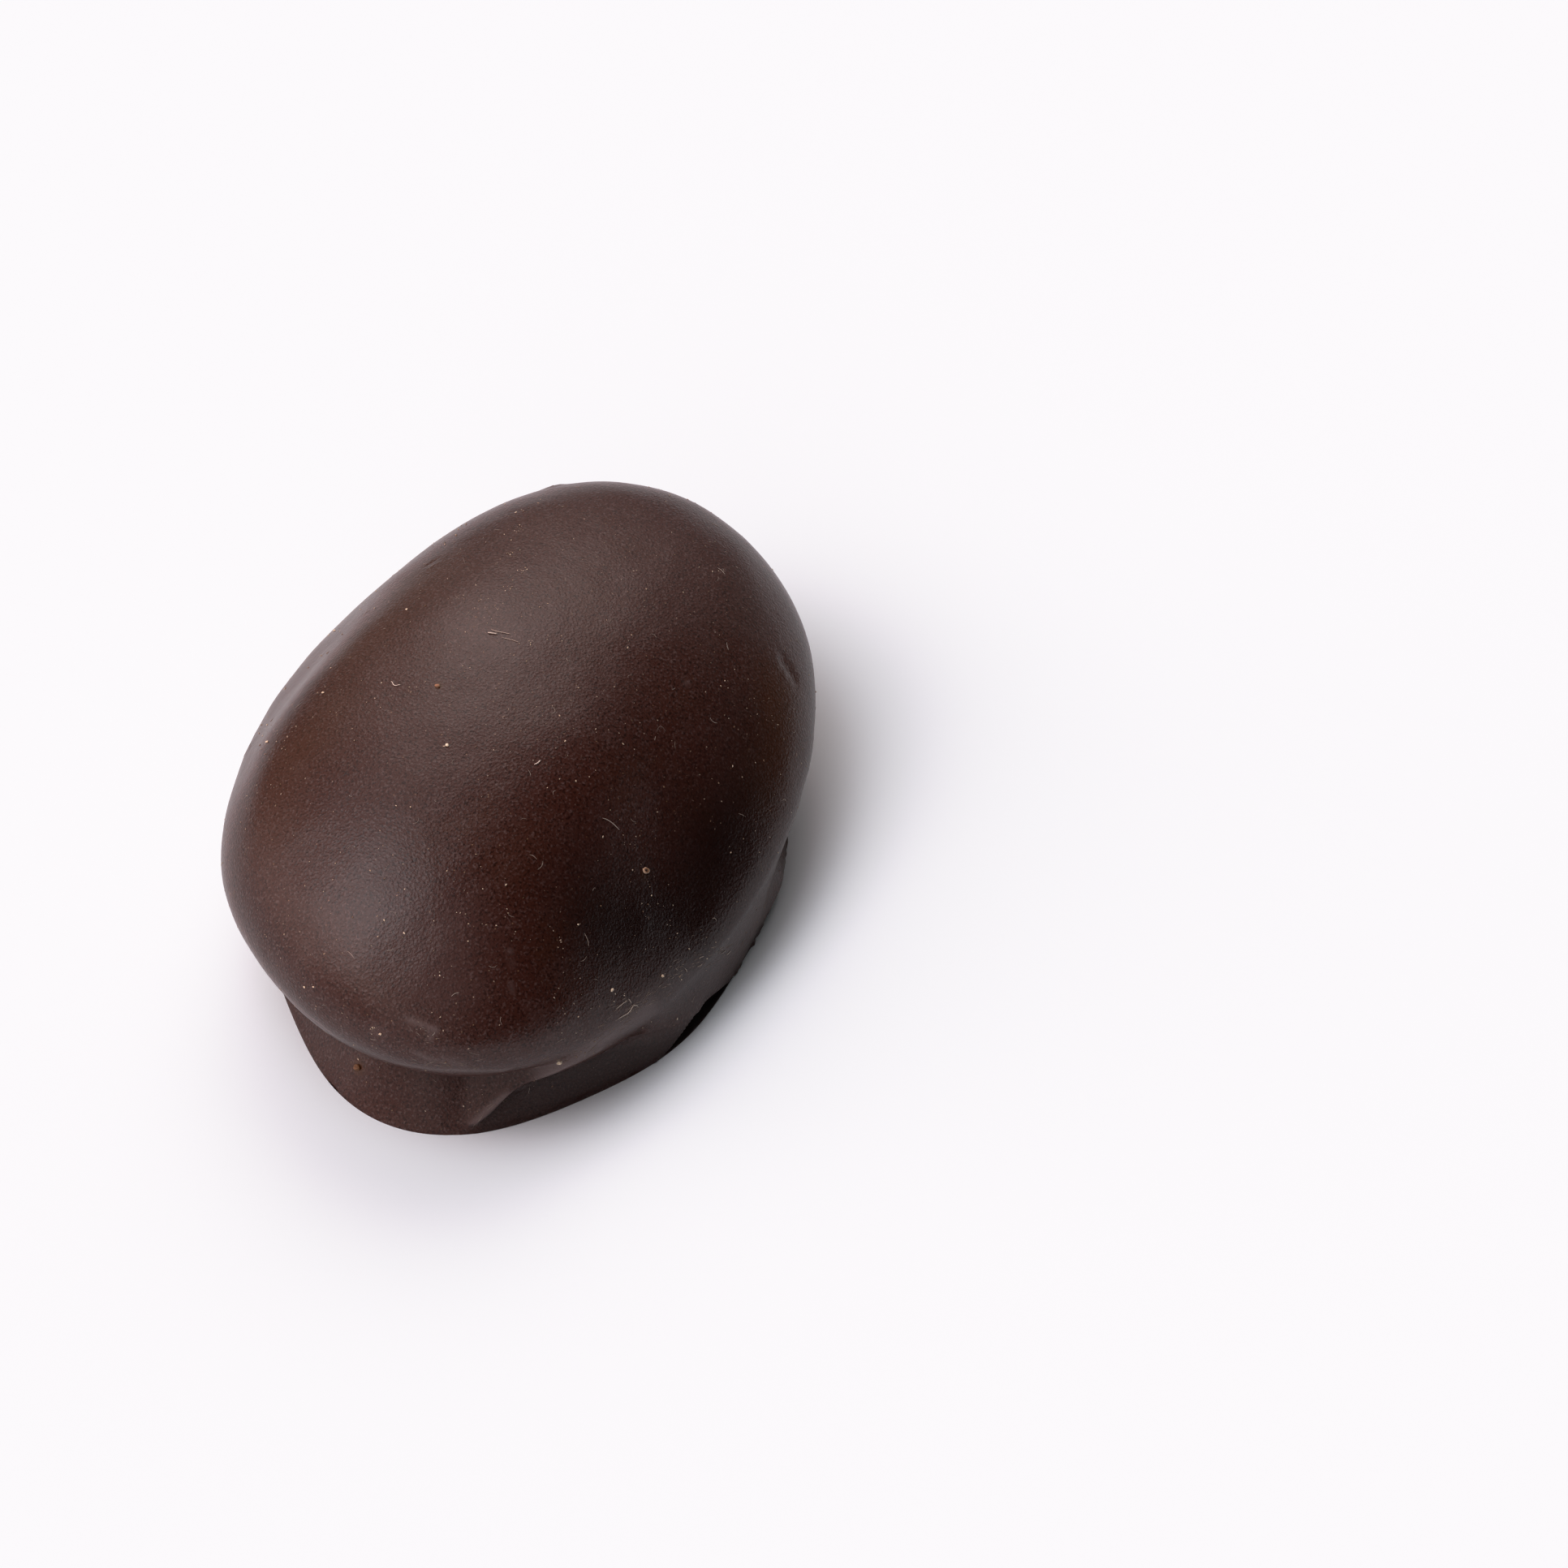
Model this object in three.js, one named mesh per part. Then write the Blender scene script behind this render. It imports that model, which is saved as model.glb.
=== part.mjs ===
// Chocolate covered almond: one solid piece of dark coating in the shape the covered kernel gives it.
// Units are millimetres, +Z is up, +X runs along the kernel's long axis to its broad end.
// The body is an egg with a leaning top that hangs over a narrower foot. On the -Y side a fold of coating
// hangs from the brim and ends in a lip over a low wall, and a short groove runs under its low right end.
import * as THREE from "three";

const NAME = "chocolate_almond";

const AROUND = 112;         // facets round the body
const CAP_ROWS = 19;        // rows from the top down to the brim, the widest height
const SIDE_ROWS = 20;       // rows from the brim down to the crest
const WALL_ROWS = 5;        // rows from the crest down to the floor line
const BASE_ROWS = 2;        // rows across the flat underside
const ROW_CROWDING = 1.2;   // above 1 the side rows crowd towards the crest
const WALL_CROWDING = 1.6;  // above 1 the wall rows do too
const LOWEST_KNEE = 0.3;    // where there is no crest, the wall's rows start at this height

const TOP = { x: 1.888, y: 3.085, z: 10.42 };   // the highest point leans to the far side
const BRIM = { height: 5.03, drop: 2.094 };     // the brim drops along the flank
const SAG = { amount: 1.2, at: 245, spread: 28 };   // and a little more above the fold
const FLANK = { at: 284.2, spread: 49.5 };      // where the long -Y flank lies
const FLANK_SLOPE = 0.812;                      // how much straighter the flank falls than a dome

// The oval on which the level sections close at the top, with its long half turned from +X in degrees.
const OVAL = { long: 13.761, short: 8.326, turn: 13.52 };

// Plan outlines as a mean radius with a few slow waves round the turn: [cosine, sine] of 1, 2, 3 ... waves.
const EGG = {
  mean: 11.076,
  waves: [[1.745, 1.283], [2.082, 0.575], [0.405, 0.084], [0.227, 0.234], [0.139, 0.007], [0.005, 0.069]],
};
const FOOT = {
  mean: 9.795,
  waves: [[1.129, 0.305], [1.586, 0.377], [0.275, -0.047], [0.263, 0.182], [-0.038, -0.077], [0.044, 0.078]],
};

// How much fuller or leaner than the plain dome the body is halfway up, and near the crown.
const SHOULDER = { mean: -0.0089, waves: [[0.0329, 0.0473], [0.022, -0.0233], [0.0295, 0.0348]] };
const CROWN = { mean: 0.0619, waves: [[-0.0023, -0.0366], [-0.0752, -0.0245]] };

// The crest is the upper edge of the wall: it rises at the corner and runs out along the -Y side, and there
// is a short second one.
const CREST = { height: 1.55, rise: [200.5, 217.5], fall: [240, 292] };
const SECOND_CREST = { amount: 0.8, at: 309, spread: 11 };
const CREST_ROUNDING = 0.1;

// The wall leans in by a share of its height between these directions, and out at the second crest.
const WALL_SLOPE = { amount: 0.38, start: [196, 204], finish: [238, 268] };
const SECOND_LEAN = { amount: 0.4, at: 309, spread: 12 };

// How the foot slopes in as it rises, and how softly it meets the egg.
const FOOT_SLOPE = 0.6;
const SLOPE_LOSS = { amount: 0.3, at: 30, spread: 75 };
const FILLET = 0.5;
const FILLET_GAINS = [
  { amount: 0.3, at: 275, spread: 45 },
  { amount: 1.2, at: 30, spread: 80 },
];
const BELLY_CLOSES_AT = 0.2;                          // height at which the egg alone would close

// The fold hangs from the brim to the crest between these directions, turns under as it goes down, and ends
// in a lip. The plane of the foot's left face, which stands across the corner's direction, cuts it off.
const FOLD = { start: [202, 206], finish: [296, 318], turningUnder: 2.6, undercut: 4 };
const LIP = { depth: 0.16, start: [203, 210], finish: [232, 250] };
const CORNER = { at: 203, reach: 10.25, widest: 60, rounding: 0.15 };
const CREASE = 0.06;
const CREASE_GAIN = { amount: 0.5, at: 254, spread: 11 };

// The short groove between the floor and the low right end of the fold.
const GROOVE = { at: 268.5, spread: 10.5, height: 0.78, depth: 0.42 };

const TURN = 2 * Math.PI;

// Signed angle in radians from a direction in degrees, within half a turn.
function awayFrom(azimuth, degrees) {
  const raw = azimuth - THREE.MathUtils.degToRad(degrees) + Math.PI;
  return raw - TURN * Math.floor(raw / TURN) - Math.PI;
}

// A smooth hill round the turn: 1 at its middle, gone well beyond its spread.
function hill(azimuth, { at, spread }) {
  const away = awayFrom(azimuth, at) / THREE.MathUtils.degToRad(spread);
  return Math.exp(-away * away);
}

// The sum of several hills, each with its own amount.
function hills(azimuth, list) {
  return list.reduce((sum, entry) => sum + entry.amount * hill(azimuth, entry), 0);
}

// A smooth step round the turn: 0 before the first direction, 1 after the second.
function step(azimuth, [start, end]) {
  const half = THREE.MathUtils.degToRad((end - start) / 2);
  const along = THREE.MathUtils.clamp(awayFrom(azimuth, (start + end) / 2) / half / 2 + 0.5, 0, 1);
  return along * along * (3 - 2 * along);
}

// The larger of two lengths with a fillet of the given size where they cross.
function blendUp(a, b, size) {
  const share = THREE.MathUtils.clamp(0.5 + (0.5 * (a - b)) / size, 0, 1);
  return b + (a - b) * share + size * share * (1 - share);
}

function blendDown(a, b, size) {
  return -blendUp(-a, -b, size);
}

// A value that changes slowly round the turn.
function waveValue({ mean, waves }, azimuth) {
  return waves.reduce(
    (sum, [cosine, sine], index) =>
      sum + cosine * Math.cos((index + 1) * azimuth) + sine * Math.sin((index + 1) * azimuth),
    mean,
  );
}

function ovalRadius(azimuth) {
  const away = azimuth - THREE.MathUtils.degToRad(OVAL.turn);
  return 1 / Math.hypot(Math.cos(away) / OVAL.long, Math.sin(away) / OVAL.short);
}

// How far the brim drops below its height at the ends.
function brimDrop(azimuth) {
  return BRIM.drop * hill(azimuth, FLANK) + hills(azimuth, [SAG]);
}

function brimHeight(azimuth) {
  return BRIM.height - brimDrop(azimuth);
}

function crestHeight(azimuth) {
  const first = CREST.height * step(azimuth, CREST.rise) * (1 - step(azimuth, CREST.fall));
  return first + hills(azimuth, [SECOND_CREST]);
}

// How far the wall leans out for each millimetre of its height.
function wallLean(azimuth) {
  const inward = step(azimuth, WALL_SLOPE.start) * (1 - step(azimuth, WALL_SLOPE.finish));
  return hills(azimuth, [SECOND_LEAN]) - WALL_SLOPE.amount * inward;
}

// Radius of the egg at a height below the brim: a quarter ellipse.
function bellyRadius(azimuth, height) {
  const brim = brimHeight(azimuth);
  const drop = Math.min(1, (brim - height) / (brim - BELLY_CLOSES_AT));
  return waveValue(EGG, azimuth) * Math.sqrt(1 - drop * drop);
}

// Radius of the foot: a slope that runs out to the crest, cut off by the wall below it.
function footRadius(azimuth, height) {
  const foot = waveValue(FOOT, azimuth);
  const lean = wallLean(azimuth);
  const crest = crestHeight(azimuth);
  const reach = FOOT_SLOPE - hills(azimuth, [SLOPE_LOSS]);
  const slope = foot + lean * crest + reach * (crest - height);
  return blendDown(foot + lean * height, slope, CREST_ROUNDING);
}

// Radius of the fold that hangs from the brim to the crest. It leaves the brim upright and turns under.
function foldRadius(azimuth, height) {
  const crest = crestHeight(azimuth);
  const lip = LIP.depth * step(azimuth, LIP.start) * (1 - step(azimuth, LIP.finish));
  const edge = waveValue(FOOT, azimuth) + wallLean(azimuth) * crest + lip;
  const share = (height - crest) / (brimHeight(azimuth) - crest);
  const hang = 1 - Math.max(0, 1 - share) ** FOLD.turningUnder;
  const radius = edge + (waveValue(EGG, azimuth) - edge) * hang - FOLD.undercut * Math.max(0, crest - height);
  const around = azimuth - TURN * Math.floor(azimuth / TURN);
  const away = THREE.MathUtils.clamp(
    around - THREE.MathUtils.degToRad(CORNER.at),
    0,
    THREE.MathUtils.degToRad(CORNER.widest),
  );
  return blendDown(radius, (CORNER.reach - FOOT_SLOPE * height) / Math.cos(away), CORNER.rounding);
}

// How far the groove goes in, deepest halfway up.
function grooveDepth(azimuth, height) {
  const size = hill(azimuth, GROOVE);
  const share = THREE.MathUtils.clamp(height / (GROOVE.height * size + 0.001), 0, 1);
  return GROOVE.depth * size * 4 * share * (1 - share);
}

// Radius of the surface at a height between the floor and the brim.
function sideRadius(azimuth, height) {
  const fillet = FILLET + hills(azimuth, FILLET_GAINS);
  const radius = blendUp(bellyRadius(azimuth, height), footRadius(azimuth, height), fillet);
  const fold = blendUp(radius, foldRadius(azimuth, height), CREASE + hills(azimuth, [CREASE_GAIN]));
  const share = step(azimuth, FOLD.start) * (1 - step(azimuth, FOLD.finish));
  return radius + share * (fold - radius) - grooveDepth(azimuth, height);
}

// A point of the body above the brim. The plan goes from the oval at the top to the egg at the brim, the
// section slides towards the leaning top, and all that depends on the direction fades out towards it.
function capPoint(azimuth, share) {
  const up = Math.max(0, Math.cos((share * Math.PI) / 2));
  const out = 1 - up * up;
  const flank = hill(azimuth, FLANK) * out;
  const brim = BRIM.height - brimDrop(azimuth) * out;
  const plan = ovalRadius(azimuth) * (1 - out) + waveValue(EGG, azimuth) * out;
  const crown = (2 * up * up - 1) * waveValue(CROWN, azimuth);
  const full = 1 + 4 * up * up * out * (waveValue(SHOULDER, azimuth) + crown);
  const lift = sideRadius(azimuth, brimHeight(azimuth)) - waveValue(EGG, azimuth);
  const radius = plan * Math.sqrt(1 - up ** (2 - FLANK_SLOPE * flank)) * full + lift * out ** 8;
  return new THREE.Vector3(
    radius * Math.cos(azimuth) + TOP.x * up * up,
    radius * Math.sin(azimuth) + TOP.y * up * up,
    brim + (TOP.z - brim) * up,
  );
}

// Height of a row below the brim: the side's rows close in on the crest, so that one row runs along it, and
// the wall's rows share out what is left above the floor.
function rowHeight(azimuth, row) {
  const knee = Math.max(crestHeight(azimuth), LOWEST_KNEE);
  if (row <= SIDE_ROWS) return knee + (brimHeight(azimuth) - knee) * (1 - row / SIDE_ROWS) ** ROW_CROWDING;
  const share = Math.min(row - SIDE_ROWS, WALL_ROWS) / WALL_ROWS;
  return knee * (1 - share ** WALL_CROWDING);
}

// One point of the skin: rows run from the top, over the brim, down to the floor and inwards.
function skinPoint(row, azimuth) {
  if (row <= CAP_ROWS) return capPoint(azimuth, row / CAP_ROWS);
  const height = rowHeight(azimuth, row - CAP_ROWS);
  const inward = 1 - Math.max(0, row - CAP_ROWS - SIDE_ROWS - WALL_ROWS) / BASE_ROWS;
  const radius = sideRadius(azimuth, height) * inward;
  return new THREE.Vector3(radius * Math.cos(azimuth), radius * Math.sin(azimuth), height);
}

function coatingGeometry() {
  const rows = CAP_ROWS + SIDE_ROWS + WALL_ROWS + BASE_ROWS;
  const geometry = new THREE.SphereGeometry(1, AROUND, rows);
  const position = geometry.getAttribute("position");
  for (let row = 0; row <= rows; row += 1) {
    for (let column = 0; column <= AROUND; column += 1) {
      const azimuth = (TURN * (column % AROUND)) / AROUND + Math.PI;
      const point = skinPoint(row, azimuth);
      position.setXYZ(row * (AROUND + 1) + column, point.x, point.y, point.z);
    }
  }
  geometry.computeBoundingBox();
  const middle = geometry.boundingBox.getCenter(new THREE.Vector3());
  geometry.translate(-middle.x, -middle.y, -geometry.boundingBox.min.z);
  geometry.computeVertexNormals();
  return geometry;
}

const coating = new THREE.Mesh(
  coatingGeometry(),
  new THREE.MeshStandardMaterial({ name: "dark_chocolate", color: 0x492b24, roughness: 0.4, metalness: 0 }),
);
coating.name = NAME;

const part = new THREE.Group();
part.name = "chocolate_covered_almond";
part.add(coating);

export default part;
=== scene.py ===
"""Chocolate covered almond: the coat with its folds and marks, its painted highlights and painted shade, what
lies on it, and a pale studio.

Sizes are in millimetres inside the classes and become metres when a mesh is made.
"""

import logging
import math
from dataclasses import dataclass, field
from enum import Enum
from itertools import combinations

import bpy
import numpy as np
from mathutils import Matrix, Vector
from mathutils.bvhtree import BVHTree


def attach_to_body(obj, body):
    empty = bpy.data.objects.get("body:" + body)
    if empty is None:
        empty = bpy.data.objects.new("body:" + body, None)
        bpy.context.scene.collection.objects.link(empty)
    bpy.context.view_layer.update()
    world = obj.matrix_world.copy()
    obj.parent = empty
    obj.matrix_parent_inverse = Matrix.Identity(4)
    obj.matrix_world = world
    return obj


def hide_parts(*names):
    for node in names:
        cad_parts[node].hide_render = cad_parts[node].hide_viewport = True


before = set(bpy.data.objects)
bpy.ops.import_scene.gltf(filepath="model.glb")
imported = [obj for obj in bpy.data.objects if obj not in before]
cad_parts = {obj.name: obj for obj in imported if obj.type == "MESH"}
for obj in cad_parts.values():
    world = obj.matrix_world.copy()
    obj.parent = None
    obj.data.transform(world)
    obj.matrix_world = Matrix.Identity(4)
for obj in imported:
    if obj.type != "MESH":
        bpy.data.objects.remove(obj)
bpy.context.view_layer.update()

LOG = logging.getLogger("chocolate_almond")
MM = 0.001
TURN = 2.0 * math.pi
TINY = 1e-9
PICTURE = 1932
NODE = "chocolate_almond"
TONE = "tone"

Array = np.ndarray
Pair = tuple[float, float]
Colour = tuple[float, float, float, float]
Piece = bpy.types.Object
Socket = bpy.types.NodeSocket
Tree = bpy.types.NodeTree
Paint = Socket | Colour


def rise(azimuth: Array, start: float, end: float) -> Array:
    """Gives a smooth step round the turn, 0 before start and 1 after end, as 3s^2 - 2s^3.

    Args:
        azimuth: Angles in radians.
        start: Direction in degrees where the step begins.
        end: Direction in degrees where it is complete.

    Returns:
        Heights from 0 to 1.
    """
    half = math.radians((end - start) / 2)
    away = (azimuth - math.radians((start + end) / 2) + math.pi) % TURN - math.pi
    share = np.clip(away / half / 2 + 0.5, 0, 1)
    return share * share * (3 - 2 * share)


def blend_up(first: Array, second: Array, size: Array) -> Array:
    """Takes the larger of two lengths, with a fillet of the given size where they cross."""
    share = np.clip(0.5 + 0.5 * (first - second) / size, 0, 1)
    return second + (first - second) * share + size * share * (1 - share)


def blend_down(first: Array, second: Array, size: Array) -> Array:
    """Takes the smaller of two lengths, with a rounding of the given size where they cross."""
    return -blend_up(-first, -second, size)


def aimed(azimuth: float, elevation: float) -> Vector:
    """Gives the unit direction at an angle round from +X and an angle above the floor, both in degrees."""
    turn, lift = math.radians(azimuth), math.radians(elevation)
    return Vector((math.cos(turn) * math.cos(lift), math.sin(turn) * math.cos(lift), math.sin(lift)))


class Tint(Enum):
    """The coat's tints, painted highlights and painted shade among them, each stored on it as an attribute of
    this name.
    """

    WARM = "warm"
    BLOOM = "bloom"
    DEEP = "deep"
    UNDER = "under"


@dataclass(frozen=True)
class Hill:
    """A smooth hill round the turn, of a given height; its middle and its spread are in degrees."""

    at: float
    spread: float
    height: float = 1.0

    def over(self, azimuth: Array) -> Array:
        """Gives its height: it falls as e to the minus square of the angle away over the spread."""
        away = (azimuth - math.radians(self.at) + math.pi) % TURN - math.pi
        return self.height * np.exp(-((away / math.radians(self.spread)) ** 2))


@dataclass(frozen=True)
class Stretch:
    """A stretch of the turn: it sets in between two directions and ends between two others, in degrees."""

    start: Pair
    end: Pair

    def over(self, azimuth: Array) -> Array:
        """Gives how far each azimuth belongs to it, from 0 to 1."""
        return rise(azimuth, *self.start) * (1 - rise(azimuth, *self.end))


@dataclass(frozen=True)
class Round:
    """A value that changes slowly round the turn: a mean, with waves of cosine and sine."""

    mean: float
    waves: tuple[Pair, ...]

    def at(self, azimuth: Array) -> Array:
        """Adds up the waves at each azimuth.

        Args:
            azimuth: Angles in radians.

        Returns:
            The values.
        """
        total = np.full_like(azimuth, self.mean)
        for order, (cosine, sine) in enumerate(self.waves, start=1):
            total = total + cosine * np.cos(order * azimuth) + sine * np.sin(order * azimuth)
        return total


@dataclass(frozen=True)
class Oval:
    """The ellipse on which the sections close at the top: two half widths and the long one's way."""

    long: float
    short: float
    turn: float

    def at(self, azimuth: Array) -> Array:
        """Gives the ellipse's radius at each azimuth."""
        away = azimuth - math.radians(self.turn)
        return 1 / np.sqrt((np.cos(away) / self.long) ** 2 + (np.sin(away) / self.short) ** 2)


@dataclass(frozen=True)
class Ripple:
    """A slow unevenness: many plane waves in seeded random directions, added up."""

    seed: int
    wavelength: float
    depth: float
    count: int = 14
    mixing: Pair = (0.7, 1.5)

    def over(self, points: Array) -> Array:
        """Adds up the waves at points of shape (..., 3), all in millimetres.

        Args:
            points: Points of shape (..., 3) in millimetres.

        Returns:
            The heights in millimetres.
        """
        draw = np.random.default_rng(self.seed)
        ways = draw.normal(size=(self.count, 3))
        ways /= np.linalg.norm(ways, axis=1, keepdims=True)
        pace = TURN / (self.wavelength * draw.uniform(*self.mixing, self.count))
        phase = draw.uniform(0, TURN, self.count)
        waves = np.sin(points @ (ways * pace[:, None]).T + phase)
        return self.depth * waves.sum(axis=-1) / math.sqrt(self.count / 2)


@dataclass
class Eye:
    """The camera: it looks from one side and above at a point on the floor at the picture's middle."""

    azimuth: float = -57.0
    elevation: float = 47.0
    distance: float = 350.0
    pixels_per_mm: float = 34.0
    aim: Pair = (10.907, -4.337)
    sensor: float = 36.0
    clip: Pair = (0.01, 10.0)

    def axes(self) -> tuple[Vector, Vector, Vector]:
        """Gives the unit directions right, up and back of the camera.

        Returns:
            The three directions.
        """
        turn, lift = math.radians(self.azimuth), math.radians(self.elevation)
        back = Vector((math.sin(turn) * math.cos(lift), -math.cos(turn) * math.cos(lift), math.sin(lift)))
        right = Vector((math.cos(turn), math.sin(turn), 0.0))
        return right, back.cross(right), back

    def place(self, shift: Array) -> Vector:
        """Gives the camera's place in millimetres, with the shape's own shift taken off."""
        target = Vector((self.aim[0] - shift[0], self.aim[1] - shift[1], 0.0))
        return target + self.distance * self.axes()[2]

    def ray(self, pixel: Pair) -> Vector:
        """Gives the direction in which a pixel of the whole picture looks.

        Args:
            pixel: A place in the whole picture.

        Returns:
            The unit direction.
        """
        right, up, back = self.axes()
        focal = self.pixels_per_mm * self.distance
        across = (pixel[0] - PICTURE / 2) / focal
        down = (pixel[1] - PICTURE / 2) / focal
        return (right * across - up * down - back).normalized()

    def build(self, shift: Array) -> Piece:
        """Makes the camera.

        Args:
            shift: How far the shape was moved to stand on the frame's origin, in millimetres.

        Returns:
            The camera object.
        """
        data = bpy.data.cameras.new("camera")
        data.sensor_width = self.sensor
        data.lens = self.pixels_per_mm * self.distance / PICTURE * self.sensor
        data.clip_start, data.clip_end = self.clip
        camera = bpy.data.objects.new("camera", data)
        camera.location = self.place(shift) * MM
        camera.rotation_mode = "QUATERNION"
        camera.rotation_quaternion = (-self.axes()[2]).to_track_quat("-Z", "Y")
        bpy.context.scene.collection.objects.link(camera)
        bpy.context.scene.camera = camera
        return camera


class Skin:
    """The coat's finished surface, asked where a pixel meets it and for places scattered over it."""

    passing = 15.0
    tries = 121

    def __init__(self, points: Array, faces: Array, eye: Eye, shift: Array) -> None:
        """Keeps the surface.

        Args:
            points: Corners in millimetres, of shape (count, 3).
            faces: Corner numbers of the triangles, of shape (count, 3).
            eye: The camera that the pixels belong to.
            shift: How far the shape was moved to stand on the frame's origin, in millimetres.
        """
        self.points, self.faces, self.eye, self.shift = points, faces, eye, shift
        self.tree = BVHTree.FromPolygons(points.tolist(), faces.tolist())

    def seen(self, pixel: Pair) -> tuple[Array, Array]:
        """Gives the place and the outward normal where a pixel's ray meets the surface, or comes closest.

        Args:
            pixel: A place in the whole picture.

        Returns:
            The place in millimetres and the normal.
        """
        start, way = self.eye.place(self.shift), self.eye.ray(pixel)
        spot, normal, _, _ = self.tree.ray_cast(start, way)
        if spot is None:
            reaches = self.eye.distance + np.linspace(-self.passing, self.passing, self.tries)
            beside = [self.tree.find_nearest(start + way * float(reach)) for reach in reaches]
            spot, normal, _, _ = min(beside, key=lambda hit: hit[3])
        return np.array(spot), np.array(normal)

    def span(self, start: Pair, end: Pair) -> tuple[Array, Array, Array, float]:
        """Gives the line between two pixels: its middle, its way, the normal at its start, half its length.

        Args:
            start: The first pixel.
            end: The last pixel.

        Returns:
            The middle, the way, the normal and the half length, in millimetres.
        """
        (first, normal), (last, _) = self.seen(start), self.seen(end)
        half = np.linalg.norm(last - first) / 2
        return (first + last) / 2, (last - first) / (2 * half), normal, half

    def line(self, pixels: tuple[Pair, ...], lift: float = 0.0) -> Array:
        """Gives the places of several pixels, each lifted off the surface by the same height."""
        return np.array([spot + lift * normal for spot, normal in map(self.seen, pixels)])

    def nearest(self, points: Array) -> tuple[Array, Array]:
        """Gives the places on the surface closest to some points, and the outward normals there."""
        found = [self.tree.find_nearest(Vector(point)) for point in points]
        return np.array([hit[0] for hit in found]), np.array([hit[1] for hit in found])

    def heights(self, full: float, least: float) -> Array:
        """Gives each triangle's height as a share of a full one, not below the least and not above 1."""
        middle = self.points[self.faces].mean(axis=1)
        return np.clip(middle[:, 2] / full, least, 1.0)

    def scatter(self, count: int, draw: np.random.Generator, liking: Array) -> tuple[Array, Array]:
        """Chooses places at random, as many for each bit of area as the liking there says.

        Args:
            count: How many places.
            draw: Seeded source of random numbers.
            liking: Weight of each triangle for each bit of its area.

        Returns:
            The places and the outward normals, both of shape (count, 3).
        """
        first, second, third = (self.points[self.faces[:, corner]] for corner in range(3))
        cross = np.cross(second - first, third - first)
        size = np.linalg.norm(cross, axis=1)
        chance = np.cumsum(size * liking)
        chosen = np.searchsorted(chance, draw.uniform(0, chance[-1], count))
        one, two = np.sqrt(draw.uniform(size=(2, count, 1)))
        two = two * one
        spots = first[chosen] * (1 - one) + second[chosen] * (one - two) + third[chosen] * two
        return spots, cross[chosen] / size[chosen, None]


@dataclass(frozen=True)
class Dent:
    """A groove in the coat between two pixels, or a low ridge if its depth is below zero; in millimetres."""

    start: Pair
    end: Pair
    width: float
    depth: float

    def push(self, skin: Skin, points: Array) -> Array:
        """Works out how far each point goes in.

        The push is the depth times e to the minus u^4 - w^2, where u and w are the places along and across
        the groove, as shares of half its length and half its width.

        Args:
            skin: The surface before the dents.
            points: Points of shape (..., 3) in millimetres.

        Returns:
            The push inwards in millimetres.
        """
        middle, along, normal, half = skin.span(self.start, self.end)
        off = points - middle
        share = np.abs(off @ along) / (half + self.width / 2)
        cross = (off @ np.cross(normal, along)) / (self.width / 2)
        near = np.linalg.norm(off, axis=-1) < 2 * half + 2 * self.width
        return self.depth * np.exp(-(share ** 4) - cross ** 2) * near


@dataclass(frozen=True)
class Stain:
    """A soft patch along a line of pixels, in which the coat takes a tint up to the given amount."""

    pixels: tuple[Pair, ...]
    radius: float
    amount: float

    def over(self, skin: Skin, points: Array) -> Array:
        """Gives each point's amount: it falls as e to the minus square of the distance over the radius.

        Args:
            skin: The coat's surface.
            points: Points of shape (..., 3) in millimetres.

        Returns:
            The amounts, from 0 to its own.
        """
        line = skin.line(self.pixels)
        ends = zip(line[:-1], line[1:]) if len(line) > 1 else [(line[0], line[0])]
        away = np.full(points.shape[:-1], np.inf)
        for first, last in ends:
            run = last - first
            share = np.clip((points - first) @ run / max(run @ run, TINY), 0, 1)
            away = np.minimum(away, np.linalg.norm(points - first - share[..., None] * run, axis=-1))
        return self.amount * np.exp(-((away / self.radius) ** 2))


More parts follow.
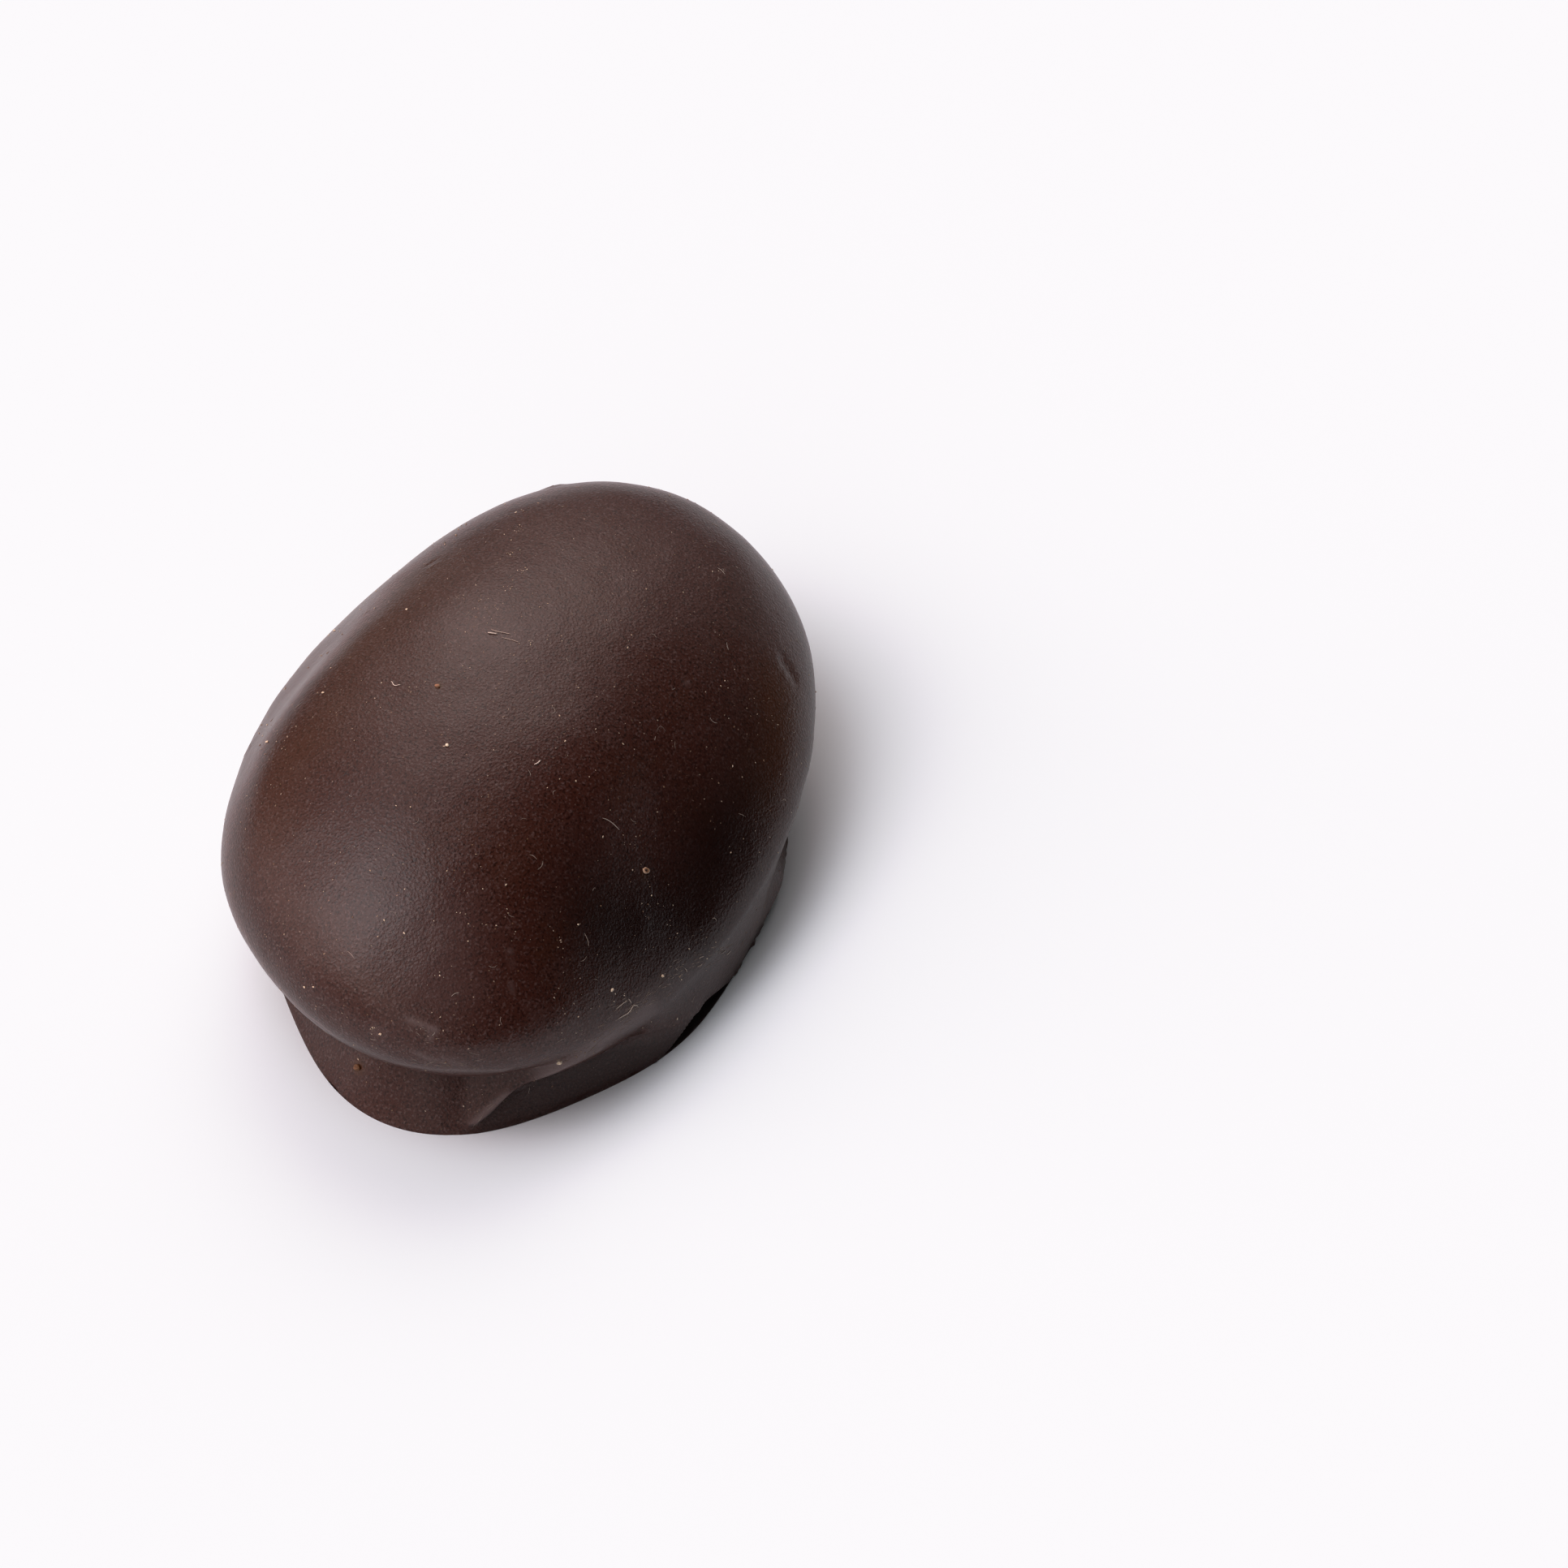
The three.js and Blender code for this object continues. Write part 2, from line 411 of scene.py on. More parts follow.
@dataclass
class Coating:
    """The chocolate coat: an egg over a foot, its folded skirt, the dents and stains in it, and its painted
    highlights and painted shade.
    """

    top: float = 10.42
    apex: Pair = (1.888, 3.085)
    brim: float = 5.030
    brim_drop: float = 2.094
    flank: Hill = Hill(284.2, 49.5)
    flank_slope: float = 0.812
    sag: Hill = Hill(245.0, 28.0, 1.2)
    oval: Oval = Oval(13.761, 8.326, 13.52)
    egg: Round = Round(11.076, ((1.745, 1.283), (2.082, 0.575), (0.405, 0.084),
                                (0.227, 0.234), (0.139, 0.007), (0.005, 0.069)))
    shoulder: Round = Round(-0.0089, ((0.0329, 0.0473), (0.0220, -0.0233), (0.0295, 0.0348)))
    crown: Round = Round(0.0619, ((-0.0023, -0.0366), (-0.0752, -0.0245)))
    foot: Round = Round(9.795, ((1.129, 0.305), (1.586, 0.377), (0.275, -0.047),
                                (0.263, 0.182), (-0.038, -0.077), (0.044, 0.078)))
    closing: float = 0.2
    crest: float = 1.55
    crest_run: Stretch = Stretch((200.5, 217.5), (240.0, 292.0))
    crest_end: Hill = Hill(309.0, 11.0, 0.8)
    wall_slope: float = 0.38
    wall_run: Stretch = Stretch((196.0, 204.0), (238.0, 268.0))
    wall_lean: Hill = Hill(309.0, 12.0, 0.4)
    foot_slope: float = 0.6
    foot_upright: Hill = Hill(30.0, 75.0, 0.3)
    foot_rounding: float = 0.1
    corner_at: float = 203.0
    corner_reach: float = 10.25
    corner_turn: float = 60.0
    corner_rounding: float = 0.15
    turning_under: float = 2.6
    tuck: float = 4.0
    lip: float = 0.16
    lip_run: Stretch = Stretch((203.0, 210.0), (232.0, 250.0))
    groove: Hill = Hill(268.5, 10.5)
    groove_top: float = 0.78
    groove_depth: float = 0.42
    groove_least: float = 0.001
    fillet: float = 0.5
    fillet_front: Hill = Hill(275.0, 45.0, 0.3)
    fillet_back: Hill = Hill(30.0, 80.0, 1.2)
    crease: float = 0.06
    crease_soft: Hill = Hill(254.0, 11.0, 0.5)
    rim_power: int = 8
    web: Stretch = Stretch((202.0, 206.0), (296.0, 318.0))
    across: int = 360
    cap_rows: int = 120
    side_rows: int = 90
    wall_rows: int = 40
    base_rows: int = 8
    crowding: float = 1.2
    lowest_knee: float = 0.3
    ripples: tuple[Ripple, ...] = (
        Ripple(11, 5.0, 0.016),
        Ripple(12, 1.9, 0.005),
        Ripple(13, 0.8, 0.0014),
    )
    ripple_start: float = 1.2
    fringe: Ripple = Ripple(21, 0.55, 0.045)
    fringe_height: float = 0.16
    fringe_start: Pair = (195.0, 235.0)
    # Painted shade on the undercut wall below the crest and in the short groove: its strength, where it
    # starts and how it fades, and where it ends.
    painted_shade_and_dark_tone: float = 0.55
    painted_shade_start: float = 0.02
    painted_shade_fade: float = 0.10
    painted_shade_soft: Hill = Hill(256.0, 16.0, 0.6)
    painted_shade_wall: float = 0.5
    painted_shade_end: Pair = (262.0, 282.0)
    painted_shade_groove: float = 0.08
    dents: tuple[Dent, ...] = (
        Dent((963, 812), (980, 838), 0.28, 0.075),
        Dent((958, 816), (976, 842), 0.16, -0.035),
        Dent((708, 645), (732, 651), 0.07, 0.026),
        Dent((526, 697), (537, 690), 0.11, 0.030),
        Dent((527, 701), (539, 694), 0.08, -0.022),
        Dent((613, 1051), (627, 1053), 0.30, 0.016),
        Dent((366, 946), (378, 950), 0.28, 0.016),
        Dent((604, 963), (616, 965), 0.26, 0.014),
        Dent((838, 826), (854, 840), 0.05, 0.014),
        Dent((854, 826), (840, 841), 0.05, 0.012),
        Dent((303, 910), (308, 924), 0.22, 0.030),
        Dent((676, 598), (690, 596), 0.35, -0.060),
        Dent((404, 1336), (411, 1346), 0.36, 0.040),
        Dent((786, 1331), (776, 1327), 0.14, 0.060),
        Dent((690, 940), (700, 948), 0.40, 0.010),
        Dent((560, 1010), (580, 1006), 0.50, 0.010),
    )
    warm: tuple[Stain, ...] = (
        Stain(((350, 940), (338, 1010)), 1.5, 0.20),
        Stain(((412, 868), (388, 910)), 1.2, 0.16),
        Stain(((964, 850), (958, 930), (940, 985)), 1.3, 0.40),
        Stain(((530, 700), (430, 800)), 1.4, 0.25),
        Stain(((650, 1040), (628, 1075)), 0.9, 0.08),
        Stain(((441, 1315),), 0.24, 1.0),
        Stain(((541, 845),), 0.13, 1.0),
        Stain(((816, 1204),), 0.12, 0.9),
        Stain(((794, 1080),), 0.16, 1.0),
    )
    # Pale bloom and rubbed marks, some of them painted highlights, as marked below.
    bloom: tuple[Stain, ...] = (
        # Painted highlight: the bright line along the band above the ridge.
        Stain(((670, 1322), (690, 1311), (730, 1290), (765, 1266), (800, 1242)), 0.42, 0.80),
        Stain(((800, 1246), (840, 1212), (890, 1176)), 0.50, 0.12),
        # Painted highlights along the ridge and along the crease.
        Stain(((585, 1384), (600, 1369), (624, 1350), (646, 1338), (688, 1318), (739, 1294)), 0.16, 0.75),
        Stain(((345, 1218), (395, 1262), (445, 1296), (500, 1312), (560, 1318), (625, 1318)), 0.09, 0.55),
        Stain(((505, 1257), (520, 1262), (533, 1268)), 0.13, 0.50),
        Stain(((536, 1268), (529, 1280)), 0.12, 0.50),
        Stain(((513, 1297), (524, 1303), (534, 1306)), 0.12, 0.45),
        Stain(((628, 1172),), 0.10, 0.6),
        Stain(((629, 1184), (630, 1190)), 0.07, 0.45),
        Stain(((629, 1212), (630, 1222)), 0.08, 0.35),
        Stain(((846, 842),), 0.12, 0.45),
        Stain(((548, 1306), (570, 1312)), 0.20, 0.30),
        Stain(((590, 770), (640, 790)), 1.2, 0.12),
        # Painted sheen beside the lower left highlight, and painted reflection on the right rim.
        Stain(((545, 1150), (550, 1215)), 1.5, 0.24),
        Stain(((945, 725), (955, 775)), 1.2, 0.22),
        Stain(((464, 1269),), 0.30, 0.25),
    )
    # Painted shade: the right flank and the right shoulder are darkened where they face away from the lights.
    deep: tuple[Stain, ...] = (
        Stain(((755, 1145), (850, 1130), (890, 1050)), 2.8, 0.86),
        Stain(((930, 960), (925, 900)), 1.8, 0.35),
    )
    shift: Array = field(default_factory=lambda: np.zeros(3))

    def drop(self, azimuth: Array) -> Array:
        """Gives how far the widest outline drops along the -Y flank, and a little more above the fold."""
        return self.brim_drop * self.flank.over(azimuth) + self.sag.over(azimuth)

    def brim_height(self, azimuth: Array) -> Array:
        """Gives the height of the widest outline."""
        return self.brim - self.drop(azimuth)

    def crest_height(self, azimuth: Array) -> Array:
        """Gives the height of the wall's upper edge: a long run from the corner on, and one short one."""
        return self.crest * self.crest_run.over(azimuth) + self.crest_end.over(azimuth)

    def overhang(self, azimuth: Array) -> Array:
        """Gives how far the wall leans out for each millimetre of its height; below zero it leans in."""
        return self.wall_lean.over(azimuth) - self.wall_slope * self.wall_run.over(azimuth)

    def belly(self, azimuth: Array, height: Array) -> Array:
        """Gives the egg's radius below its widest outline: a quarter ellipse that closes near the floor.

        Args:
            azimuth: Angles in radians.
            height: Heights above the floor in millimetres.

        Returns:
            The radii in millimetres.
        """
        brim = self.brim_height(azimuth)
        drop = np.clip((brim - height) / (brim - self.closing), 0, 1)
        return self.egg.at(azimuth) * np.sqrt(1 - drop * drop)

    def footing(self, azimuth: Array, height: Array) -> Array:
        """Gives the foot's radius: a slope that runs out to the crest, cut off by the wall below it.

        Args:
            azimuth: Angles in radians.
            height: Heights above the floor in millimetres.

        Returns:
            The radii in millimetres.
        """
        foot, lean, crest = self.foot.at(azimuth), self.overhang(azimuth), self.crest_height(azimuth)
        reach = self.foot_slope - self.foot_upright.over(azimuth)
        slope = foot + lean * crest + reach * (crest - height)
        return blend_down(foot + lean * height, slope, self.foot_rounding)

    def fold(self, azimuth: Array, height: Array) -> Array:
        """Gives the radius of the fold that hangs from the brim over the wall.

        With s the share of the way up from the crest to the brim, the fold goes out as 1 - (1 - s)^p, so it
        leaves the brim upright and turns under above the crest. The plane of the foot's left face cuts it.

        Args:
            azimuth: Angles in radians.
            height: Heights above the floor in millimetres.

        Returns:
            The radii in millimetres.
        """
        crest = self.crest_height(azimuth)
        foot = self.foot.at(azimuth) + self.overhang(azimuth) * crest
        foot = foot + self.lip * self.lip_run.over(azimuth)
        share = (height - crest) / (self.brim_height(azimuth) - crest)
        hang = 1 - np.clip(1 - share, 0, None) ** self.turning_under
        below = np.clip(crest - height, 0, None)
        away = np.clip(azimuth % TURN - math.radians(self.corner_at), 0, math.radians(self.corner_turn))
        face = (self.corner_reach - self.foot_slope * height) / np.cos(away)
        hung = foot + (self.egg.at(azimuth) - foot) * hang - self.tuck * below
        return blend_down(hung, face, self.corner_rounding)

    def recess(self, azimuth: Array, height: Array) -> Array:
        """Gives how far the short groove goes in, low down on the right.

        With s the share of the way up from the floor to its upper edge, its depth goes as 4 s (1 - s).

        Args:
            azimuth: Angles in radians.
            height: Heights above the floor in millimetres.

        Returns:
            The depths in millimetres.
        """
        groove = self.groove.over(azimuth)
        share = np.clip(height / (self.groove_top * groove + self.groove_least), 0, 1)
        return self.groove_depth * groove * 4 * share * (1 - share)

    def side(self, azimuth: Array, height: Array) -> Array:
        """Gives the skin's radius at a height between the floor and the brim.

        Args:
            azimuth: Angles in radians.
            height: Heights above the floor in millimetres.

        Returns:
            The radii in millimetres.
        """
        fillet = self.fillet + self.fillet_front.over(azimuth) + self.fillet_back.over(azimuth)
        radius = blend_up(self.belly(azimuth, height), self.footing(azimuth, height), fillet)
        hung = blend_up(radius, self.fold(azimuth, height), self.crease + self.crease_soft.over(azimuth))
        return radius + self.web.over(azimuth) * (hung - radius) - self.recess(azimuth, height)

    def cap(self, azimuth: Array) -> Array:
        """Works out the skin above the brim.

        With u the share of the way up and c = 1 - u^2, the radius is the root of 1 - u^m times a plan that
        goes from the oval at the top to the egg at the brim as c, made fuller or leaner by 4 u^2 c times the
        shoulder and the crown. The flank's lower brim and its m below 2 also come in as c, so the top is
        smooth, and the section slides towards the apex as u^2.

        Args:
            azimuth: Angles in radians, one for each column.

        Returns:
            Points of shape (rows, columns, 3) in millimetres.
        """
        up = np.maximum(np.cos(steps(self.cap_rows) * math.pi / 2), 0.0)
        out = 1 - up * up
        brim = self.brim - self.drop(azimuth) * out
        plan = self.oval.at(azimuth) * (1 - out) + self.egg.at(azimuth) * out
        edge = self.shoulder.at(azimuth) + (2 * up * up - 1) * self.crown.at(azimuth)
        full = 1 + 4 * up * up * out * edge
        radius = plan * np.sqrt(1 - up ** (2 - self.flank_slope * (self.flank.over(azimuth) * out))) * full
        lift = self.side(azimuth, self.brim_height(azimuth)) - self.egg.at(azimuth)
        points = ring(azimuth, radius + lift * out ** self.rim_power, brim + (self.top - brim) * up)
        return points + np.array([*self.apex, 0]) * (up ** 2)[..., None]

    def skin(self) -> Array:
        """Works out the skin: the cap, the rows below the brim, closer towards the floor, and the underside.

        Returns:
            Points of shape (rows, across, 3) in millimetres.
        """
        azimuth = turns(self.across)
        knee = np.maximum(self.crest_height(azimuth), self.lowest_knee)
        fall = (1 - steps(self.side_rows)) ** self.crowding
        height = np.concatenate([knee + (self.brim_height(azimuth) - knee) * fall,
                                 knee * (1 - steps(self.wall_rows))])
        wall = ring(azimuth, self.side(azimuth * np.ones_like(height), height), height)
        inward = 1 - steps(self.base_rows)[:-1, :, None]
        return np.concatenate([self.cap(azimuth), wall, wall[-1] * inward])

    def uneven(self, grid: Array) -> Array:
        """Gives how far each point stands out: ripples above the floor, and the fringe at the floor line.

        Args:
            grid: Points of shape (rows, across, 3).

        Returns:
            The heights in millimetres.
        """
        height = grid[..., 2]
        clear = np.clip(height / self.ripple_start, 0, 1)
        waves = sum(ripple.over(grid) for ripple in self.ripples)
        azimuth = np.arctan2(grid[..., 1], grid[..., 0])
        skirt = np.exp(-((height / self.fringe_height) ** 2)) * rise(azimuth, *self.fringe_start)
        return waves * clear * clear + np.abs(self.fringe.over(grid)) * skirt

    def tints(self, skin: Skin, points: Array) -> dict[Tint, Array]:
        """Works out the coat's tints at each point.

        Args:
            skin: The finished surface.
            points: Its points in millimetres, of shape (count, 3).

        Returns:
            The warm stains, the pale bloom with its painted highlights, the painted shade on the right flank
            and the painted shade in the undercut and the groove, each from 0 to 1.
        """
        plain = points + self.shift
        azimuth = np.arctan2(plain[:, 1], plain[:, 0])
        crest = self.crest_height(azimuth)
        # Painted shade: the wall below the crest is darkened, and so is the groove.
        fade = self.painted_shade_fade + self.painted_shade_soft.over(azimuth)
        wall = np.clip((crest - self.painted_shade_start - plain[:, 2]) / fade, 0, 1)
        wall = self.painted_shade_and_dark_tone * wall * np.clip(crest / self.painted_shade_wall, 0, 1) * (1 - rise(azimuth, *self.painted_shade_end))
        under = np.clip(np.maximum(wall, self.recess(azimuth, plain[:, 2]) / self.painted_shade_groove), 0, 1)
        stains = {Tint.WARM: self.warm, Tint.BLOOM: self.bloom, Tint.DEEP: self.deep}
        amounts = {tint: np.clip(sum(stain.over(skin, points) for stain in laid), 0, 1)
                   for tint, laid in stains.items()}
        amounts[Tint.BLOOM] *= 1 - under
        amounts[Tint.UNDER] = under
        return amounts

    def build(self, eye: Eye) -> tuple[Piece, Skin]:
        """Makes the coat's mesh, stands it on the middle of its box, and presses the dents in.

        Args:
            eye: The camera whose pixels place the dents.

        Returns:
            The coat and its finished surface.
        """
        grid = self.skin()
        ends = np.array([[*self.apex, self.top], [0.0, 0.0, 0.0]])
        plain = strung(ends[0], grid, ends[1])
        low, high = plain.min(axis=0), plain.max(axis=0)
        self.shift = np.array([(low[0] + high[0]) / 2, (low[1] + high[1]) / 2, low[2]])
        outward = grid_normals(grid) * (np.arange(len(grid)) < len(grid) - self.base_rows)[:, None, None]
        outward = np.where(grid[..., 2:] < TINY, outward * np.array([1, 1, 0]), outward)
        grid = grid + outward * self.uneven(grid)[..., None] - self.shift
        ends = ends - self.shift
        faces = closed_faces(len(grid), self.across)
        skin = Skin(strung(ends[0], grid, ends[1]), triangles(faces), eye, self.shift)
        sunk = sum(dent.push(skin, grid) for dent in self.dents)
        grid = grid - outward * sunk[..., None]
        points = strung(ends[0], grid, ends[1])
        skin = Skin(points, triangles(faces), eye, self.shift)
        coat = smooth_mesh("coating", points * MM, faces)
        for tint, amount in self.tints(skin, points).items():
            store(coat, tint.value, amount)
        return coat, skin


def steps(count: int) -> Array:
    """Gives a column of even steps up to 1, without the 0."""
    return np.arange(1, count + 1)[:, None] / count


def turns(count: int) -> Array:
    """Gives even angles once round, in radians."""
    return np.arange(count) * TURN / count


def strung(top: Array, rings: Array, bottom: Array) -> Array:
    """Lists the points of a closed form: its top point, its rings and its bottom point."""
    return np.concatenate([top[None], rings.reshape(-1, 3), bottom[None]])


def ring(azimuth: Array, radius: Array, height: Array) -> Array:
    """Places points at an azimuth, a radius and a height."""
    azimuth, radius, height = np.broadcast_arrays(azimuth, radius, height)
    return np.stack([radius * np.cos(azimuth), radius * np.sin(azimuth), height], axis=-1)


def grid_normals(grid: Array) -> Array:
    """Gives the outward normals of a grid of rings: the cross product of its steps down and round.

    Args:
        grid: Points of shape (rows, across, 3).

    Returns:
        The unit normals, in the grid's shape.
    """
    down = np.gradient(grid, axis=0)
    round_step = np.roll(grid, -1, axis=1) - np.roll(grid, 1, axis=1)
    cross = np.cross(down, round_step)
    return cross / np.maximum(np.linalg.norm(cross, axis=-1, keepdims=True), TINY)


def closed_faces(rows: int, across: int) -> list[list[int]]:
    """Lists the faces of a top point, rings of points and a bottom point, all facing out.

    Args:
        rows: Number of rings from top to bottom.
        across: Points in each ring, counted against the clock seen from above.

    Returns:
        The corner numbers of each face.
    """
    here = np.arange(across)
    after = (here + 1) % across
    rings = 1 + np.arange(rows - 1)[:, None] * across
    quads = np.stack([rings + here, rings + across + here, rings + across + after, rings + after], axis=-1)
    cap = np.stack([np.zeros_like(here), 1 + here, 1 + after], axis=-1)
    last = 1 + (rows - 1) * across
    base = np.stack([last + here, np.full_like(here, last + across), last + after], axis=-1)
    return quads.reshape(-1, 4).tolist() + cap.tolist() + base.tolist()


def triangles(faces: list[list[int]]) -> Array:
    """Splits four-sided faces in two and keeps the three-sided ones.

    Args:
        faces: The corner numbers of each face.

    Returns:
        The corner numbers, of shape (count, 3).
    """
    quads = np.array([face for face in faces if len(face) == 4]).reshape(-1, 4)
    rest = np.array([face for face in faces if len(face) == 3]).reshape(-1, 3)
    return np.concatenate([quads[:, [0, 1, 2]], quads[:, [0, 2, 3]], rest])


def store(piece: Piece, name: str, values: Array) -> None:
    """Stores a value for each point under a name, for the finish to read."""
    data = piece.data.attributes.new(name, "FLOAT", "POINT").data
    data.foreach_set("value", values.astype(np.float32))


def smooth_mesh(name: str, points: Array, faces: list[list[int]]) -> Piece:
    """Makes an object from points in metres and faces, shaded smooth.

    Args:
        name: Its name.
        points: Points of shape (..., 3) in millimetres.
        faces: The corner numbers of each face.

    Returns:
        The object.
    """
    mesh = bpy.data.meshes.new(name)
    mesh.from_pydata(points.tolist(), [], faces)
    mesh.polygons.foreach_set("use_smooth", np.ones(len(faces), dtype=bool))
    mesh.update()
    piece = bpy.data.objects.new(name, mesh)
    bpy.context.scene.collection.objects.link(piece)
    return piece


def merged(name: str, forms: list[tuple[Array, Array, Array]]) -> Piece:
    """Makes one object of many closed forms.

    Args:
        name: The object's name.
        forms: The points in millimetres, the triangles, and the tone of each point, for each form.

    Returns:
        The object, with the tones stored on it.
    """
    starts = np.cumsum([0] + [len(points) for points, _, _ in forms[:-1]])
    corners = [faces + start for (_, faces, _), start in zip(forms, starts)]
    points = np.concatenate([points for points, _, _ in forms])
    piece = smooth_mesh(name, points * MM, np.concatenate(corners).tolist())
    store(piece, TONE, np.concatenate([tones for _, _, tones in forms]))
    return piece


def standing_on(normal: Array, turn: Array) -> Array:
    """Gives three unit directions for things that lie on the surface: along, across and out of it.

    Args:
        normal: Outward normals of shape (count, 3).
        turn: Angle of the first direction round each normal, in radians.

    Returns:
        The directions as rows, of shape (count, 3, 3).
    """
    steep = np.abs(normal[:, 2:]) < 0.9
    helper = np.where(steep, np.array([[0.0, 0.0, 1.0]]), np.array([[1.0, 0.0, 0.0]]))
    first = np.cross(helper, normal)
    first /= np.linalg.norm(first, axis=1, keepdims=True)
    second = np.cross(normal, first)
    along = first * np.cos(turn)[:, None] + second * np.sin(turn)[:, None]
    return np.stack([along, np.cross(normal, along), normal], axis=1)


@dataclass(frozen=True)
class Crumb:
    """One larger crumb stuck to the coat, between two pixels; its hollow is a share of its height, and is
    darkened with painted shade.
    """

    start: Pair
    end: Pair
    width: float
    tone: float
    hollow: float = 0.0


@dataclass(frozen=True)
class Cluster:
    """Grains that lie close together round a pixel."""

    pixel: Pair
    radius: float
    count: int
    size: float


@dataclass
class Crumbs:
    """The larger crumbs, each a lumpy egg pressed a little into the coat."""

    across: int = 20
    rows: int = 12
    seed: int = 5
    lump: float = 0.13
    lump_size: float = 1.5
    pressing: float = 0.6
    height: float = 0.75
    sunk: float = 0.25
    named: tuple[Crumb, ...] = (
        Crumb((686.4, 1310.8), (693.2, 1307.6), 0.135, 0.95),
        Crumb((549.0, 919.0), (553.4, 917.6), 0.135, 1.0),
        Crumb((545.0, 919.8), (550.0, 919.0), 0.045, 0.9),
        Crumb((752.2, 1221.2), (756.0, 1218.2), 0.095, 0.85),
        Crumb((814.4, 1202.4), (817.8, 1202.6), 0.10, 0.75),
        Crumb((791.4, 1070.4), (798.6, 1075.0), 0.21, 0.42, 1.6),
        Crumb((467.0, 1274.0), (470.4, 1273.6), 0.09, 0.7),
        Crumb((396.4, 854.0), (399.6, 853.6), 0.08, 0.7),
        Crumb((327.6, 914.0), (330.6, 914.4), 0.08, 0.6),
        Crumb((499.6, 751.0), (502.4, 751.4), 0.07, 0.8),
        Crumb((410.6, 777.0), (413.4, 777.0), 0.07, 0.7),
        Crumb((374.0, 1216.0), (376.4, 1216.2), 0.07, 0.7),
        Crumb((385.0, 1216.2), (387.4, 1216.0), 0.06, 0.7),
        Crumb((535.6, 845.0), (542.4, 846.0), 0.15, 0.12),
        Crumb((437.0, 1314.2), (444.6, 1315.8), 0.23, -0.36),
    )

    def build(self, skin: Skin) -> Piece:
        """Makes all the crumbs as one mesh.

        A crumb is a unit ball whose radius has slow seeded waves and whose top is pressed in by its hollow
        times e to the minus square of twice the distance from its middle, then stretched to its size. Its
        tone falls by the same amount, as painted shade in the hollow.

        Args:
            skin: The surface that they lie on.

        Returns:
            The crumbs.
        """
        draw = np.random.default_rng(self.seed)
        azimuth = turns(self.across)
        fall = steps(self.rows)[:-1] * math.pi
        rings = ring(azimuth, np.sin(fall), np.cos(fall))
        pole = np.array([0.0, 0.0, 1.0])
        ball = strung(pole, rings, -pole)
        faces = triangles(closed_faces(self.rows - 1, self.across))
        forms = []
        for crumb in self.named:
            centre, along, normal, half = skin.span(crumb.start, crumb.end)
            waves = Ripple(int(draw.integers(1000)), self.lump_size, self.lump).over(ball)
            lumpy = ball * (1 + waves[:, None])
            middle = np.linalg.norm(lumpy[:, :2], axis=1)
            pressed = crumb.hollow * np.exp(-((2 * middle) ** 2)) * (lumpy[:, 2] > 0)
            lumpy[:, 2] -= self.pressing * pressed
            size = np.array([half, crumb.width / 2, min(half, crumb.width / 2) * self.height])
            out = np.cross(along, np.cross(normal, along))
            spots = (lumpy * size) @ np.stack([along, np.cross(out, along), out])
            spots = spots + centre + out * size[2] * (1 - 2 * self.sunk)
            # The tone falls where the crumb is pressed in: painted shade in its hollow.
            forms.append((spots, faces, crumb.tone - pressed))
        return merged("crumbs", forms)


